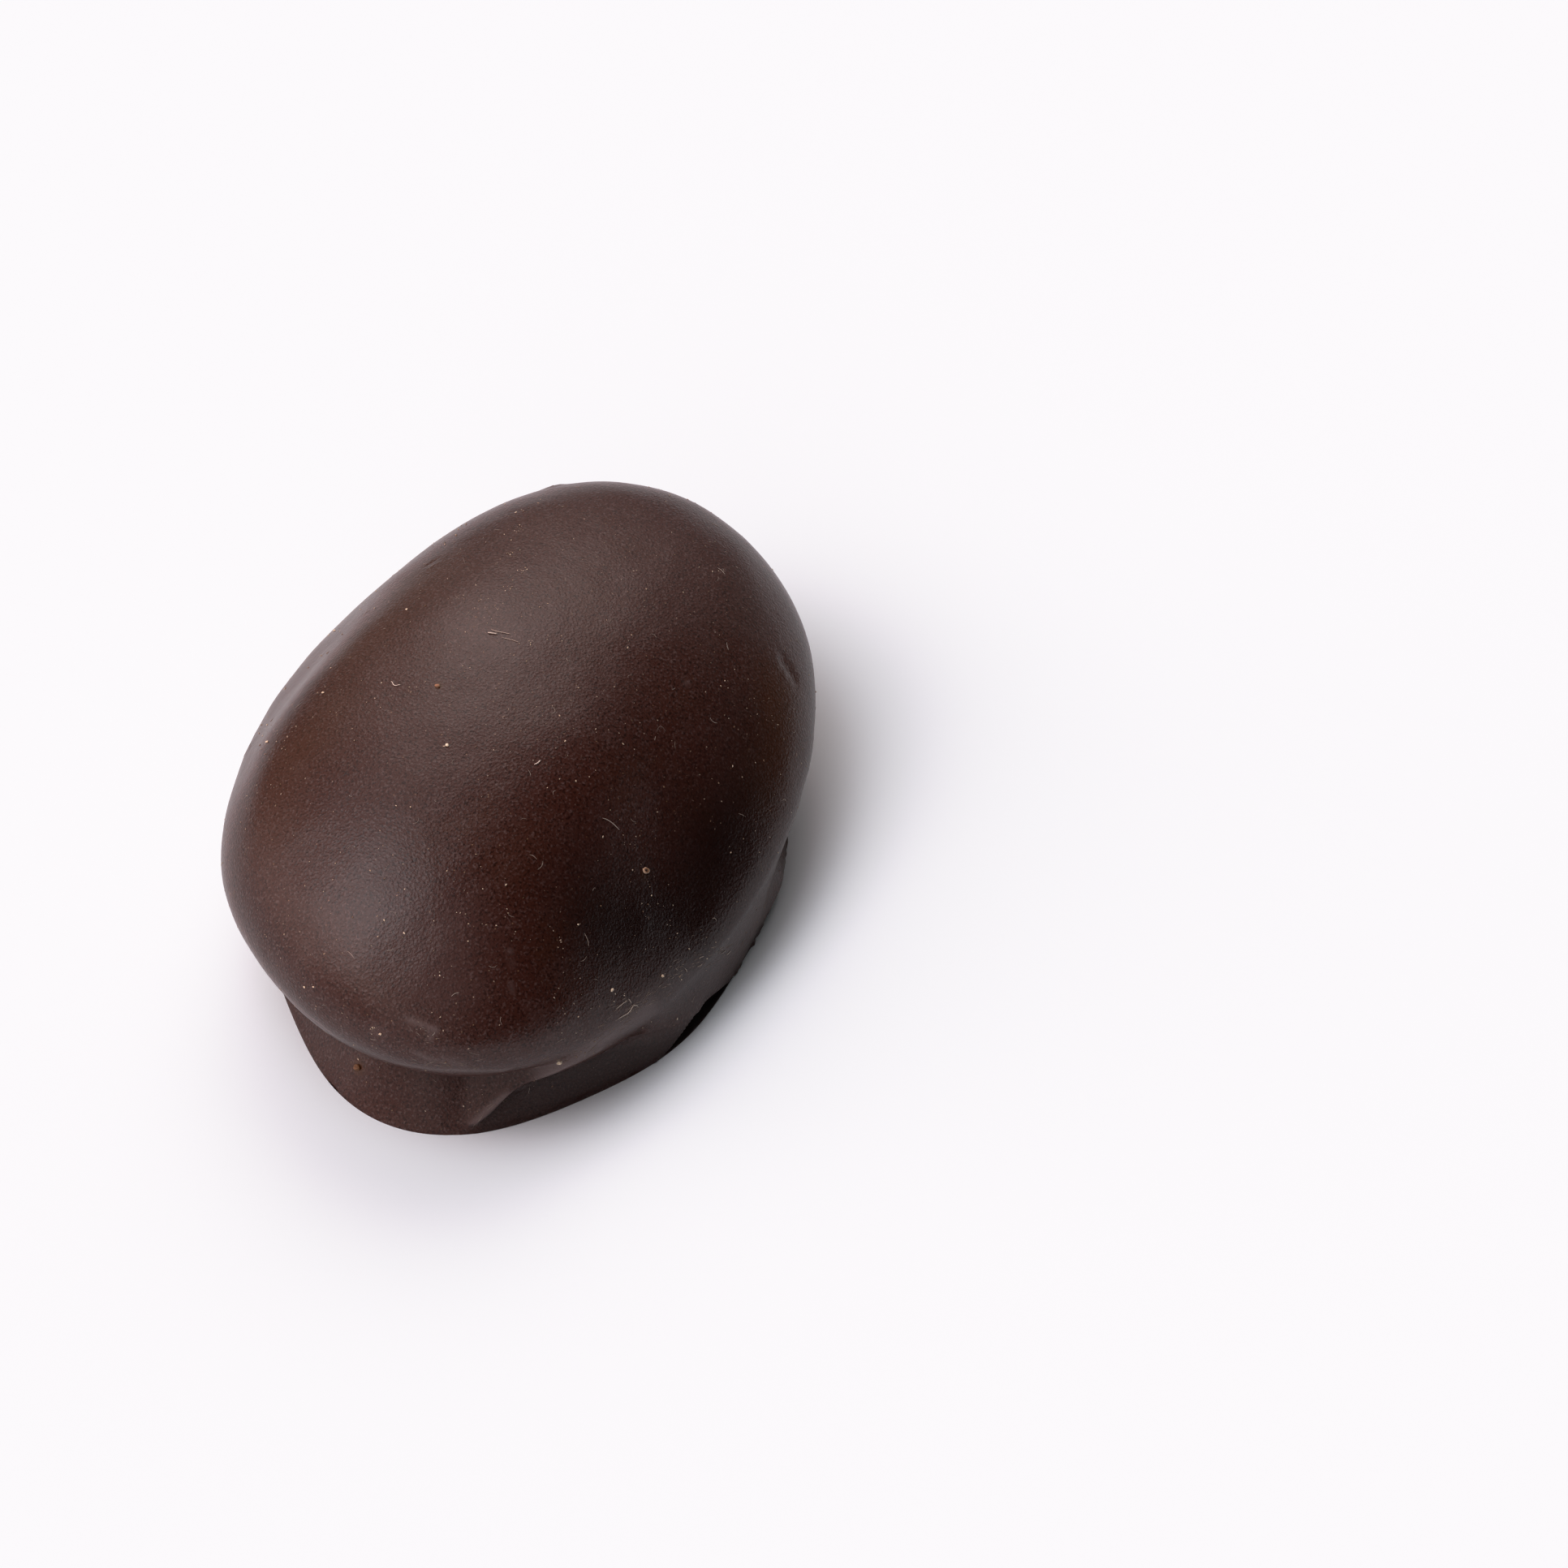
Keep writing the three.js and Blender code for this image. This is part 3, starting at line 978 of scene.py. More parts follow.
@dataclass
class Dust:
    """Hundreds of tiny pale grains of nut skin and sugar, scattered over the coat, with a few clusters."""

    count: int = 1900
    seed: int = 31
    size: float = 0.0118
    unevenness: float = 0.5
    largest: float = 0.030
    full_height: float = 2.0
    least: float = 0.12
    patches: Ripple = Ripple(32, 4.0, 0.6)
    patchiness: float = 0.9
    patch_range: Pair = (-0.6, 2.0)
    stretches: tuple[Pair, ...] = ((1.0, 1.9), (0.7, 1.1), (0.5, 0.8))
    roughness: float = 0.22
    lift: float = 0.3
    tone: Pair = (0.5, 0.3)
    clusters: tuple[Cluster, ...] = (
        Cluster((460, 1270), 0.16, 9, 0.020),
        Cluster((640, 650), 0.30, 9, 0.018),
        Cluster((630, 681), 0.20, 7, 0.019),
        Cluster((645, 702), 0.25, 8, 0.018),
        Cluster((628, 726), 0.22, 8, 0.020),
        Cluster((600, 745), 0.9, 14, 0.017),
        Cluster((668, 800), 0.8, 12, 0.017),
        Cluster((612, 1150), 1.3, 13, 0.016),
        Cluster((560, 1235), 1.6, 14, 0.016),
        Cluster((700, 1215), 1.3, 9, 0.016),
        Cluster((890, 1172), 0.5, 5, 0.014),
        Cluster((770, 1236), 0.6, 9, 0.015),
        Cluster((725, 1290), 0.7, 12, 0.016),
        Cluster((345, 905), 1.2, 16, 0.018),
        Cluster((600, 775), 2.4, 40, 0.0105),
    )

    def build(self, skin: Skin) -> Piece:
        """Makes the grains as one mesh: each is a ball of twelve corners, stretched and turned at random.

        Args:
            skin: The surface that they lie on.

        Returns:
            The grains.
        """
        draw = np.random.default_rng(self.seed)
        middle = skin.points[skin.faces].mean(axis=1)
        patches = np.clip(self.patches.over(middle), *self.patch_range)
        liking = skin.heights(self.full_height, self.least) * (1 + self.patchiness * patches)
        spots, normals = skin.scatter(self.count, draw, liking)
        size = self.size * np.exp(self.unevenness * draw.normal(size=self.count))
        for cluster in self.clusters:
            centre, normal = skin.seen(cluster.pixel)
            offset = draw.normal(size=(cluster.count, 2)) * cluster.radius / 2
            near, facing = skin.nearest(centre + offset @ standing_on(normal[None], np.zeros(1))[0, :2])
            spots, normals = np.concatenate([spots, near]), np.concatenate([normals, facing])
            grown = cluster.size * np.exp(0.5 * self.unevenness * draw.normal(size=cluster.count))
            size = np.concatenate([size, grown])
        total = len(spots)
        size = np.minimum(size, self.largest)
        axes = standing_on(normals, draw.uniform(0, TURN, total))
        stretch = np.stack([draw.uniform(*span, total) for span in self.stretches], axis=1)
        ball, faces = twenty_sided()
        rough = 1 + self.roughness * draw.normal(size=(total, len(ball), 1))
        grains = (ball * rough) * (size[:, None] * stretch)[:, None, :]
        points = grains @ axes + (spots + normals * size[:, None] * self.lift)[:, None, :]
        corners = faces + len(ball) * np.arange(total)[:, None, None]
        piece = smooth_mesh("dust", points.reshape(-1, 3) * MM, corners.reshape(-1, 3).tolist())
        store(piece, TONE, np.repeat(np.clip(draw.normal(*self.tone, total), 0, 1), len(ball)))
        return piece


def twenty_sided() -> tuple[Array, Array]:
    """Gives the corners of a ball of twenty triangles, three golden rectangles, and its faces.

    Returns:
        The corners, of shape (12, 3), and the faces, of shape (20, 3).
    """
    golden = (1 + math.sqrt(5)) / 2
    edge = 2.0
    flat = np.array([[0, side, long * golden] for side in (-1, 1) for long in (-1, 1)], dtype=float)
    corners = np.concatenate([np.roll(flat, turn, axis=1) for turn in range(3)])
    near = np.linalg.norm(corners[:, None] - corners[None], axis=-1) < 1.05 * edge
    faces = []
    for one, two, three in combinations(range(len(corners)), 3):
        if near[one, two] and near[two, three] and near[one, three]:
            facing = np.dot(np.cross(corners[two], corners[three]), corners[one]) > 0
            faces.append((one, two, three) if facing else (one, three, two))
    return corners / np.linalg.norm(corners[0]), np.array(faces)


@dataclass(frozen=True)
class Fibre:
    """One hair of lint, drawn through pixels."""

    pixels: tuple[Pair, ...]
    thickness: float
    tone: float


@dataclass(frozen=True)
class Brush:
    """Fine pale strokes rubbed into the coat beside a line of pixels; spread and length are in pixels."""

    pixels: tuple[Pair, ...]
    count: int
    spread: float
    length: Pair = (5.0, 16.0)


@dataclass
class Lint:
    """The hairs on the coat and the strokes rubbed into it: those that show, and short ones all over it."""

    sides: int = 6
    smoothing: int = 6
    lift: float = 0.006
    seed: int = 77
    short_count: int = 130
    short_length: Pair = (0.09, 0.42)
    short_thickness: Pair = (0.008, 0.016)
    short_bend: float = 0.18
    short_points: int = 5
    short_tone: Pair = (0.2, 0.6)
    full_height: float = 2.0
    least: float = 0.05
    thinnest: float = 0.35
    taper: int = 8
    helper: tuple[float, float, float] = (0.3, 0.5, 0.81)
    stroke_thickness: Pair = (0.008, 0.016)
    stroke_turn: float = 0.16
    stroke_bow: float = 0.08
    stroke_tone: Pair = (0.0, 0.35)
    named: tuple[Fibre, ...] = (
        Fibre(((482, 840), (484, 841.5), (484.6, 843.8), (487, 845.6), (491, 844.6), (494, 844)), 0.036, 0.8),
        Fibre(((601, 780), (607, 781), (613, 781.6)), 0.05, 0.85),
        Fibre(((605, 776), (612, 778.5), (621, 780), (630, 782)), 0.026, 0.6),
        Fibre(((618, 786), (628, 788), (640, 792)), 0.022, 0.55),
        Fibre(((742, 1008), (747, 1009.6), (751, 1011.8), (757, 1016.6), (763, 1023)), 0.026, 0.55),
        Fibre(((786, 1240.4), (783.6, 1238.2), (779.6, 1239), (777.6, 1243), (773.6, 1248.4), (767.6, 1251.4),
               (761.6, 1255)), 0.032, 0.6),
        Fibre(((758.6, 1243), (763.6, 1239.4), (768.6, 1235), (772, 1233.6)), 0.024, 0.5),
        Fibre(((774, 1231), (776, 1233), (777.6, 1236)), 0.026, 0.6),
        Fibre(((658, 942.4), (661.8, 941), (664.2, 939), (665.6, 937)), 0.045, 0.9),
        Fibre(((859, 1191), (862, 1190), (865, 1187.6)), 0.024, 0.45),
        Fibre(((843, 1193), (845.5, 1195), (846, 1198)), 0.024, 0.4),
        Fibre(((888, 1175), (891, 1173), (894, 1171)), 0.026, 0.55),
        Fibre(((895, 1176), (898, 1173.6), (900, 1171)), 0.026, 0.55),
        Fibre(((861, 1181), (864, 1179), (867, 1178.4)), 0.022, 0.45),
        Fibre(((556, 1228), (560, 1224), (566, 1223)), 0.020, 0.4),
        Fibre(((884, 700), (889, 703), (893, 708)), 0.022, 0.45),
        Fibre(((720, 1150), (724, 1158), (725, 1166)), 0.018, 0.35),
    )
    brushes: tuple[Brush, ...] = (
        Brush(((680, 1308), (730, 1284), (765, 1258), (800, 1232)), 46, 7.0),
        Brush(((760, 1246), (790, 1232), (830, 1212)), 26, 7.0, (4.0, 12.0)),
        Brush(((825, 1206), (862, 1184), (896, 1168)), 40, 6.0, (4.0, 11.0)),
        Brush(((586, 1386), (604, 1366), (628, 1348)), 10, 3.0),
        Brush(((500, 1308), (560, 1313), (610, 1313)), 16, 3.5),
        Brush(((508, 1258), (522, 1270), (534, 1274)), 14, 6.0, (3.0, 8.0)),
        Brush(((560, 700), (600, 760), (640, 780)), 18, 30.0, (4.0, 12.0)),
    )

    def strokes(self, skin: Skin, draw: np.random.Generator) -> list[tuple[Array, float]]:
        """Lays the rubbed strokes, each nearly along its brush's line, and gives each path and thickness.

        Args:
            skin: The coat's surface.
            draw: Seeded source of random numbers.

        Returns:
            Each stroke's path and thickness in millimetres.
        """
        laid = []
        for brush in self.brushes:
            line = np.array(brush.pixels)
            for place in draw.uniform(0, len(line) - 1.001, brush.count):
                first, last = line[int(place)], line[int(place) + 1]
                way = (last - first) / np.linalg.norm(last - first)
                turned = way + draw.normal(0, self.stroke_turn) * np.array([-way[1], way[0]])
                middle = first + (last - first) * (place % 1) + draw.normal(0, brush.spread, 2)
                reach = draw.uniform(*brush.length) * turned / 2
                bow = draw.normal(0, self.stroke_bow) * np.array([-reach[1], reach[0]])
                thickness = draw.uniform(*self.stroke_thickness)
                pixels = tuple(map(tuple, (middle - reach, middle + bow, middle + reach)))
                laid.append((skin.line(pixels, thickness / 4), thickness))
        return laid

    def tube(self, path: Array, radius: float) -> tuple[Array, Array]:
        """Carries a ring of points along a path, closed at both ends, and thinner there.

        Args:
            path: Points of shape (count, 3) in millimetres.
            radius: Half the thickness in millimetres.

        Returns:
            The points in millimetres and the triangles.
        """
        step = np.gradient(path, axis=0)
        step /= np.linalg.norm(step, axis=1, keepdims=True)
        side = np.cross(step, self.helper)
        side /= np.linalg.norm(side, axis=1, keepdims=True)
        other = np.cross(step, side)
        turn = turns(self.sides)[:, None]
        share = np.linspace(-1, 1, len(path))
        width = radius * np.clip(1 - share ** self.taper, self.thinnest, 1)
        around = side[:, None] * np.cos(turn) + other[:, None] * np.sin(turn)
        points = path[:, None] + around * width[:, None, None]
        return strung(path[0], points, path[-1]), triangles(closed_faces(len(path), self.sides))

    def path(self, skin: Skin, fibre: Fibre) -> Array:
        """Gives a smooth path through a hair's pixels, just above the surface.

        Args:
            skin: The coat's surface.
            fibre: The hair.

        Returns:
            Points of shape (count, 3) in millimetres.
        """
        raw = skin.line(fibre.pixels, fibre.thickness / 2 + self.lift)
        place = np.linspace(0, len(raw) - 1, self.smoothing * (len(raw) - 1) + 1)
        straight = np.stack([np.interp(place, np.arange(len(raw)), column) for column in raw.T], axis=1)
        for _ in range(self.smoothing):
            straight[1:-1] = (straight[:-2] + 2 * straight[1:-1] + straight[2:]) / 4
        return straight

    def short_paths(self, skin: Skin, draw: np.random.Generator) -> list[tuple[Array, float]]:
        """Lays short bent hairs at seeded places and gives each one's path and thickness.

        Args:
            skin: The coat's surface.
            draw: Seeded source of random numbers.

        Returns:
            Each hair's path and thickness in millimetres.
        """
        liking = skin.heights(self.full_height, self.least)
        spots, normals = skin.scatter(self.short_count, draw, liking)
        axes = standing_on(normals, draw.uniform(0, TURN, self.short_count))
        length = draw.uniform(*self.short_length, self.short_count)
        bend = draw.normal(0, self.short_bend, self.short_count)
        share = np.linspace(-0.5, 0.5, self.short_points)[:, None]
        paths = []
        for spot, axis, long, bent in zip(spots, axes, length, bend):
            thickness = draw.uniform(*self.short_thickness)
            flat = spot + long * (share * axis[0] + bent * (4 * share ** 2 - 1) * axis[1])
            near, facing = skin.nearest(flat)
            paths.append((near + facing * thickness / 2, thickness))
        return paths

    def build(self, skin: Skin) -> Piece:
        """Makes all the hairs as one mesh.

        Args:
            skin: The surface that they lie on.

        Returns:
            The lint.
        """
        draw = np.random.default_rng(self.seed)
        hairs = [(self.path(skin, fibre), fibre.thickness, fibre.tone) for fibre in self.named]
        hairs += [(*short, draw.uniform(*self.short_tone)) for short in self.short_paths(skin, draw)]
        hairs += [(*stroke, draw.uniform(*self.stroke_tone)) for stroke in self.strokes(skin, draw)]
        forms = []
        for path, thickness, tone in hairs:
            points, faces = self.tube(path, thickness / 2)
            forms.append((points, faces, np.full(len(points), tone)))
        return merged("lint", forms)


def blended(first: Colour, second: Colour, share: float) -> Colour:
    """Mixes two colours, with the share of the second one."""
    return tuple(part + (other - part) * share for part, other in zip(first, second))


def feed(tree: Tree, node: bpy.types.Node, values: dict[str | int, Paint | float]) -> None:
    """Links or sets inputs of a node, each given by its name or its number.

    Args:
        tree: The node tree that the nodes go into.
        node: The node.
        values: What its inputs get, each under its name or its number.
    """
    for key, value in values.items():
        if isinstance(value, Socket):
            tree.links.new(value, node.inputs[key])
        else:
            node.inputs[key].default_value = value


def new_node(tree: Tree, kind: str, values: dict[str | int, Paint | float] | None = None,
             operation: str | None = None) -> bpy.types.Node:
    """Adds a shader node of a kind.

    Args:
        tree: The node tree that it goes into.
        kind: The node type's name.
        values: What its inputs get, each under its name or its number.
        operation: What it works out, for a math node.

    Returns:
        The node.
    """
    node = tree.nodes.new(kind)
    if operation:
        node.operation = operation
    feed(tree, node, values or {})
    return node


def new_material(name: str) -> tuple[bpy.types.Material, Tree, bpy.types.Node]:
    """Makes a material with nodes, and gives it with its tree and its shader.

    Args:
        name: Its name.

    Returns:
        The material, its node tree and its shader.
    """
    material = bpy.data.materials.new(name)
    material.use_nodes = True
    return material, material.node_tree, material.node_tree.nodes["Principled BSDF"]


def mixed(tree: Tree, mask: Socket, under: Paint, over: Paint) -> Socket:
    """Lays a colour over another one where a mask says, and gives the result.

    Args:
        tree: The node tree that the nodes go into.
        mask: Where it is laid, from 0 to 1.
        under: The colour so far.
        over: The colour laid over it.

    Returns:
        The colour with the other one laid over it.
    """
    mix = new_node(tree, "ShaderNodeMix", {"Factor": mask})
    mix.data_type = "RGBA"
    colours = [number for number, socket in enumerate(mix.inputs) if socket.type == "RGBA"]
    feed(tree, mix, dict(zip(colours, (under, over))))
    return next(socket for socket in mix.outputs if socket.type == "RGBA")


def ramp(tree: Tree, value: Socket, source: tuple[Socket | float, Socket | float], target: Pair) -> Socket:
    """Maps a value smoothly from one range to another, held at both ends.

    Args:
        tree: The node tree that the nodes go into.
        value: The value.
        source: The range that it comes from.
        target: The range that it goes to.

    Returns:
        The value in its new range.
    """
    ends = {"From Min": source[0], "From Max": source[1], "To Min": target[0], "To Max": target[1]}
    node = new_node(tree, "ShaderNodeMapRange", {"Value": value, **ends})
    node.interpolation_type = "SMOOTHSTEP"
    return node.outputs["Result"]


def read(tree: Tree, name: str) -> Socket:
    """Gives the value that a piece's points hold under a name.

    Args:
        tree: The node tree that the nodes go into.
        name: Its name.

    Returns:
        The value.
    """
    node = new_node(tree, "ShaderNodeAttribute")
    node.attribute_name = name
    return node.outputs["Fac"]


def object_place(tree: Tree) -> Socket:
    """Gives the place on the piece, in its own coordinates."""
    return new_node(tree, "ShaderNodeTexCoord").outputs["Object"]


class Effect:
    """A shared effect: a shader node group with named sockets, built once and placed in each finish."""

    name = ""
    inputs: dict[str, str] = {}
    output = ("", "")

    def __init__(self) -> None:
        """Makes the group, its sockets and its nodes."""
        self.group = bpy.data.node_groups.new(self.name, "ShaderNodeTree")
        for name, kind in self.inputs.items():
            self.group.interface.new_socket(name, in_out="INPUT", socket_type=kind)
        self.group.interface.new_socket(self.output[0], in_out="OUTPUT", socket_type=self.output[1])
        given = self.group.nodes.new("NodeGroupInput").outputs
        result = self.group.nodes.new("NodeGroupOutput").inputs
        self.group.links.new(self.lay(self.group, given), result[self.output[0]])

    def lay(self, tree: Tree, given: bpy.types.NodeOutputs) -> Socket:
        """Lays the nodes between the group's inputs and its output."""
        raise NotImplementedError

    def put(self, tree: Tree, **values: Paint | float) -> Socket:
        """Places the effect in a material.

        Args:
            tree: The material's node tree.
            values: What each input gets, a socket or a plain value, under the input's name.

        Returns:
            The effect's output.
        """
        node = new_node(tree, "ShaderNodeGroup")
        node.node_tree = self.group
        feed(tree, node, values)
        return node.outputs[self.output[0]]


@dataclass(frozen=True)
class Cloud:
    """The sizes of one cloudy mask: the noise's scale, the two values between which it is cut, its detail."""

    scale: float
    low: float
    high: float
    detail: float = 3.0


class Clouds(Effect):
    """A soft cloudy mask from 0 to 1: noise of a scale, cut between a low and a high value."""

    name = "clouds"
    inputs = {"Place": "NodeSocketVector", "Scale": "NodeSocketFloat", "Detail": "NodeSocketFloat",
              "Low": "NodeSocketFloat", "High": "NodeSocketFloat"}
    output = ("Mask", "NodeSocketFloat")

    def lay(self, tree: Tree, given: bpy.types.NodeOutputs) -> Socket:
        """Lays the noise and the cut.

        Args:
            tree: The node tree that the nodes go into.
            given: The group's inputs.

        Returns:
            The socket that the group gives out.
        """
        sizes = {"Vector": given["Place"], "Scale": given["Scale"], "Detail": given["Detail"]}
        noise = new_node(tree, "ShaderNodeTexNoise", sizes)
        return ramp(tree, noise.outputs["Fac"], (given["Low"], given["High"]), (0.0, 1.0))

    def mask(self, tree: Tree, place: Socket, cloud: Cloud) -> Socket:
        """Places the mask in a material, with the sizes of one cloud."""
        sizes = {"Scale": cloud.scale, "Detail": cloud.detail, "Low": cloud.low, "High": cloud.high}
        return self.put(tree, Place=place, **sizes)


class Paleness(Effect):
    """The colour of a pale bit by its tone: a very dark brown below 0, for painted shade in crumbs' hollows
    and a dark crumb's own tone, then from tan to cream, with dirt in patches.
    """

    name = "paleness"
    inputs = {"Tone": "NodeSocketFloat", "Dirt": "NodeSocketFloat", "Tan": "NodeSocketColor",
              "Cream": "NodeSocketColor", "Soot": "NodeSocketColor", "Dirty": "NodeSocketColor"}
    output = ("Colour", "NodeSocketColor")
    painted_shade_and_dark_tone_range = (-0.9, 0.0)

    def lay(self, tree: Tree, given: bpy.types.NodeOutputs) -> Socket:
        """Lays the mixes of the four colours.

        Args:
            tree: The node tree that the nodes go into.
            given: The group's inputs.

        Returns:
            The socket that the group gives out.
        """
        colour = mixed(tree, given["Tone"], given["Tan"], given["Cream"])
        # Below tone 0 the colour turns to the very dark brown: painted shade in hollows, and a dark crumb's
        # own tone.
        colour = mixed(tree, ramp(tree, given["Tone"], self.painted_shade_and_dark_tone_range, (1.0, 0.0)), colour, given["Soot"])
        return mixed(tree, given["Dirt"], colour, given["Dirty"])


@dataclass(frozen=True)
class DarkChocolate:
    """The coat's finish: dark brown, satin, with a fine grain, warm stains, pale bloom with painted
    highlights, and painted shade on the right flank and in the undercut.
    """

    colour: Colour = (0.064, 0.0222, 0.0158, 1.0)
    warm: Colour = (0.092, 0.038, 0.015, 1.0)
    # Pale bloom colour, also used for the painted highlights.
    bloom: Colour = (0.170, 0.118, 0.112, 1.0)
    # Painted shade colour for the right flank.
    deep: Colour = (0.012, 0.006, 0.005, 1.0)
    # Painted shade colour for the undercut below the crest and the groove.
    under: Colour = (0.016, 0.006, 0.004, 1.0)
    speck: Colour = (0.34, 0.22, 0.13, 1.0)
    pit: Colour = (0.026, 0.009, 0.0063, 1.0)
    roughness: float = 0.29
    dull_roughness: float = 0.62
    refraction: float = 1.46
    dulling: Pair = (0.4, 0.8)
    warm_clouds: Cloud = Cloud(260.0, 0.50, 0.78)
    warm_share: float = 0.22
    dull_clouds: Cloud = Cloud(900.0, 0.42, 0.80)
    dull_share: float = 0.1
    tips: Cloud = Cloud(10500.0, 0.50, 0.74, 1.5)
    tip_share: float = 0.5
    pits: Cloud = Cloud(11500.0, 0.46, 0.72, 1.5)
    speck_scale: float = 3300.0
    speck_edge: Pair = (0.055, 0.11)
    speck_choice: Pair = (0.66, 0.70)
    speck_amount: float = 0.62
    grains: tuple[tuple[float, float, float], ...] = ((10500.0, 1.0, 0.0000165), (2600.0, 0.5, 0.000016))
    grain_detail: float = 1.5

    def build(self, clouds: Clouds) -> bpy.types.Material:
        """Makes the material.

        Args:
            clouds: The shared cloudy mask.

        Returns:
            The material.
        """
        material, tree, shader = new_material("dark_chocolate")
        place = object_place(tree)
        colour = self.grainy(tree, place, clouds, self.drifting(tree, place, clouds))
        colour = self.speckled(tree, place, colour)
        # Lays the warm stains, the bloom with its painted highlights, and the painted shade of the flank and
        # the undercut.
        paints = {Tint.WARM: self.warm, Tint.BLOOM: self.bloom, Tint.DEEP: self.deep, Tint.UNDER: self.under}
        for tint, paint in paints.items():
            colour = mixed(tree, read(tree, tint.value), colour, paint)
        under = read(tree, Tint.UNDER.value)
        duller = ramp(tree, under, self.dulling, (self.roughness, self.dull_roughness))
        feed(tree, shader, {"Base Color": colour, "Roughness": duller, "IOR": self.refraction,
                            "Normal": self.grained(tree, place)})
        return material

    def drifting(self, tree: Tree, place: Socket, clouds: Clouds) -> Socket:
        """Makes the brown drift slowly, over some millimetres, towards a warmer and a duller brown.

        Args:
            tree: The node tree that the nodes go into.
            place: The place on the piece.
            clouds: The shared cloudy mask.

        Returns:
            The brown.
        """
        warm = clouds.mask(tree, place, self.warm_clouds)
        dull = clouds.mask(tree, place, self.dull_clouds)
        red = mixed(tree, warm, self.colour, blended(self.colour, self.warm, self.warm_share))
        return mixed(tree, dull, red, blended(self.colour, self.bloom, self.dull_share))

    def grainy(self, tree: Tree, place: Socket, clouds: Clouds, under: Socket) -> Socket:
        """Adds the fine grain to the brown: paler tips and darker pits, a tenth of a millimetre apart.

        Args:
            tree: The node tree that the nodes go into.
            place: The place on the piece.
            clouds: The shared cloudy mask.
            under: The colour so far.

        Returns:
            The colour with the grain.
        """
        pale = blended(self.colour, self.bloom, self.tip_share)
        tips = mixed(tree, clouds.mask(tree, place, self.tips), under, pale)
        return mixed(tree, clouds.mask(tree, place, self.pits), tips, self.pit)

    def speckled(self, tree: Tree, place: Socket, under: Socket) -> Socket:
        """Adds the finest specks: a dot in the middle of some of the cells of a cell pattern.

        Args:
            tree: The node tree that the nodes go into.
            place: The place on the piece.
            under: The colour so far.

        Returns:
            The colour with the specks.
        """
        cells = new_node(tree, "ShaderNodeTexVoronoi", {"Vector": place, "Scale": self.speck_scale})
        dot = ramp(tree, cells.outputs["Distance"], self.speck_edge, (1.0, 0.0))
        some = ramp(tree, cells.outputs["Color"], self.speck_choice, (0.0, self.speck_amount))
        both = new_node(tree, "ShaderNodeMath", {0: dot, 1: some}, "MULTIPLY")
        return mixed(tree, both.outputs[0], under, self.speck)

    def grained(self, tree: Tree, place: Socket) -> Socket:
        """Gives the normal with the fine grain: two sizes of noise, both far under a millimetre.

        Args:
            tree: The node tree that the nodes go into.
            place: The place on the piece.

        Returns:
            The normal.
        """
        normal = None
        for scale, strength, depth in self.grains:
            sizes = {"Vector": place, "Scale": scale, "Detail": self.grain_detail}
            height = new_node(tree, "ShaderNodeTexNoise", sizes).outputs["Fac"]
            sizes = {"Height": height, "Strength": strength, "Distance": depth}
            bump = new_node(tree, "ShaderNodeBump", sizes)
            if normal is not None:
                feed(tree, bump, {"Normal": normal})
            normal = bump.outputs["Normal"]
        return normal


@dataclass(frozen=True)
class PaleBits:
    """The finish of crumbs, grains and hairs: from tan to cream by the tone stored on each, and very dark
    brown below 0 for painted shade in crumbs' hollows.
    """

    name: str
    tan: Colour
    cream: Colour
    dirty: Colour
    roughness: float
    # The very dark brown below tone 0: painted shade in crumbs' hollows, and a dark crumb's own tone.
    painted_shade_and_dark_tone: Colour = (0.03, 0.013, 0.008, 1.0)
    dirt: Cloud = Cloud(22000.0, 0.55, 0.85, 2.0)

    def build(self, clouds: Clouds, paleness: Paleness) -> bpy.types.Material:
        """Makes the material.

        Args:
            clouds: The shared cloudy mask.
            paleness: The shared pale colour.

        Returns:
            The material.
        """
        material, tree, shader = new_material(self.name)
        dirt = clouds.mask(tree, object_place(tree), self.dirt)
        colour = paleness.put(tree, Tone=read(tree, TONE), Dirt=dirt, Tan=self.tan, Cream=self.cream,
                              Soot=self.painted_shade_and_dark_tone, Dirty=self.dirty)
        feed(tree, shader, {"Base Color": colour, "Roughness": self.roughness})
        return material


CRUMB_FINISH = PaleBits("crumb", (0.31, 0.148, 0.066, 1.0), (0.80, 0.70, 0.56, 1.0),
                        (0.17, 0.081, 0.036, 1.0), 0.6)
DUST_FINISH = PaleBits("dust", (0.26, 0.16, 0.095, 1.0), (0.82, 0.71, 0.56, 1.0),
                       (0.143, 0.088, 0.052, 1.0), 0.7)
LINT_FINISH = PaleBits("lint", (0.22, 0.15, 0.11, 1.0), (0.78, 0.70, 0.62, 1.0),
                       (0.121, 0.083, 0.06, 1.0), 0.5)


@dataclass(frozen=True)
class Glow:
    """A wide, soft brightness of the room: it falls as e to the (cosine - 1) over the spread squared."""

    azimuth: float
    elevation: float
    spread: float
    radiance: float
    colour: tuple[float, float, float]

    def add(self, tree: Tree, way: Socket, under: Socket) -> Socket:
        """Adds the glow to what lies under it.

        Args:
            tree: The room's node tree.
            way: The direction looked in.
            under: The brightness so far.

        Returns:
            The brightness with this glow added.
        """
        sharp = 1 / math.radians(self.spread) ** 2
        middle = aimed(self.azimuth, self.elevation)
        dot = new_node(tree, "ShaderNodeVectorMath", {0: way, 1: middle}, "DOT_PRODUCT")
        parts = {0: dot.outputs["Value"], 1: sharp, 2: -sharp}
        share = new_node(tree, "ShaderNodeMath", parts, "MULTIPLY_ADD")
        fall = new_node(tree, "ShaderNodeMath", {0: share.outputs[0]}, "EXPONENT")
        parts = {0: fall.outputs[0], 1: [self.radiance * part for part in self.colour], 2: under}
        return new_node(tree, "ShaderNodeVectorMath", parts, "MULTIPLY_ADD").outputs["Vector"]


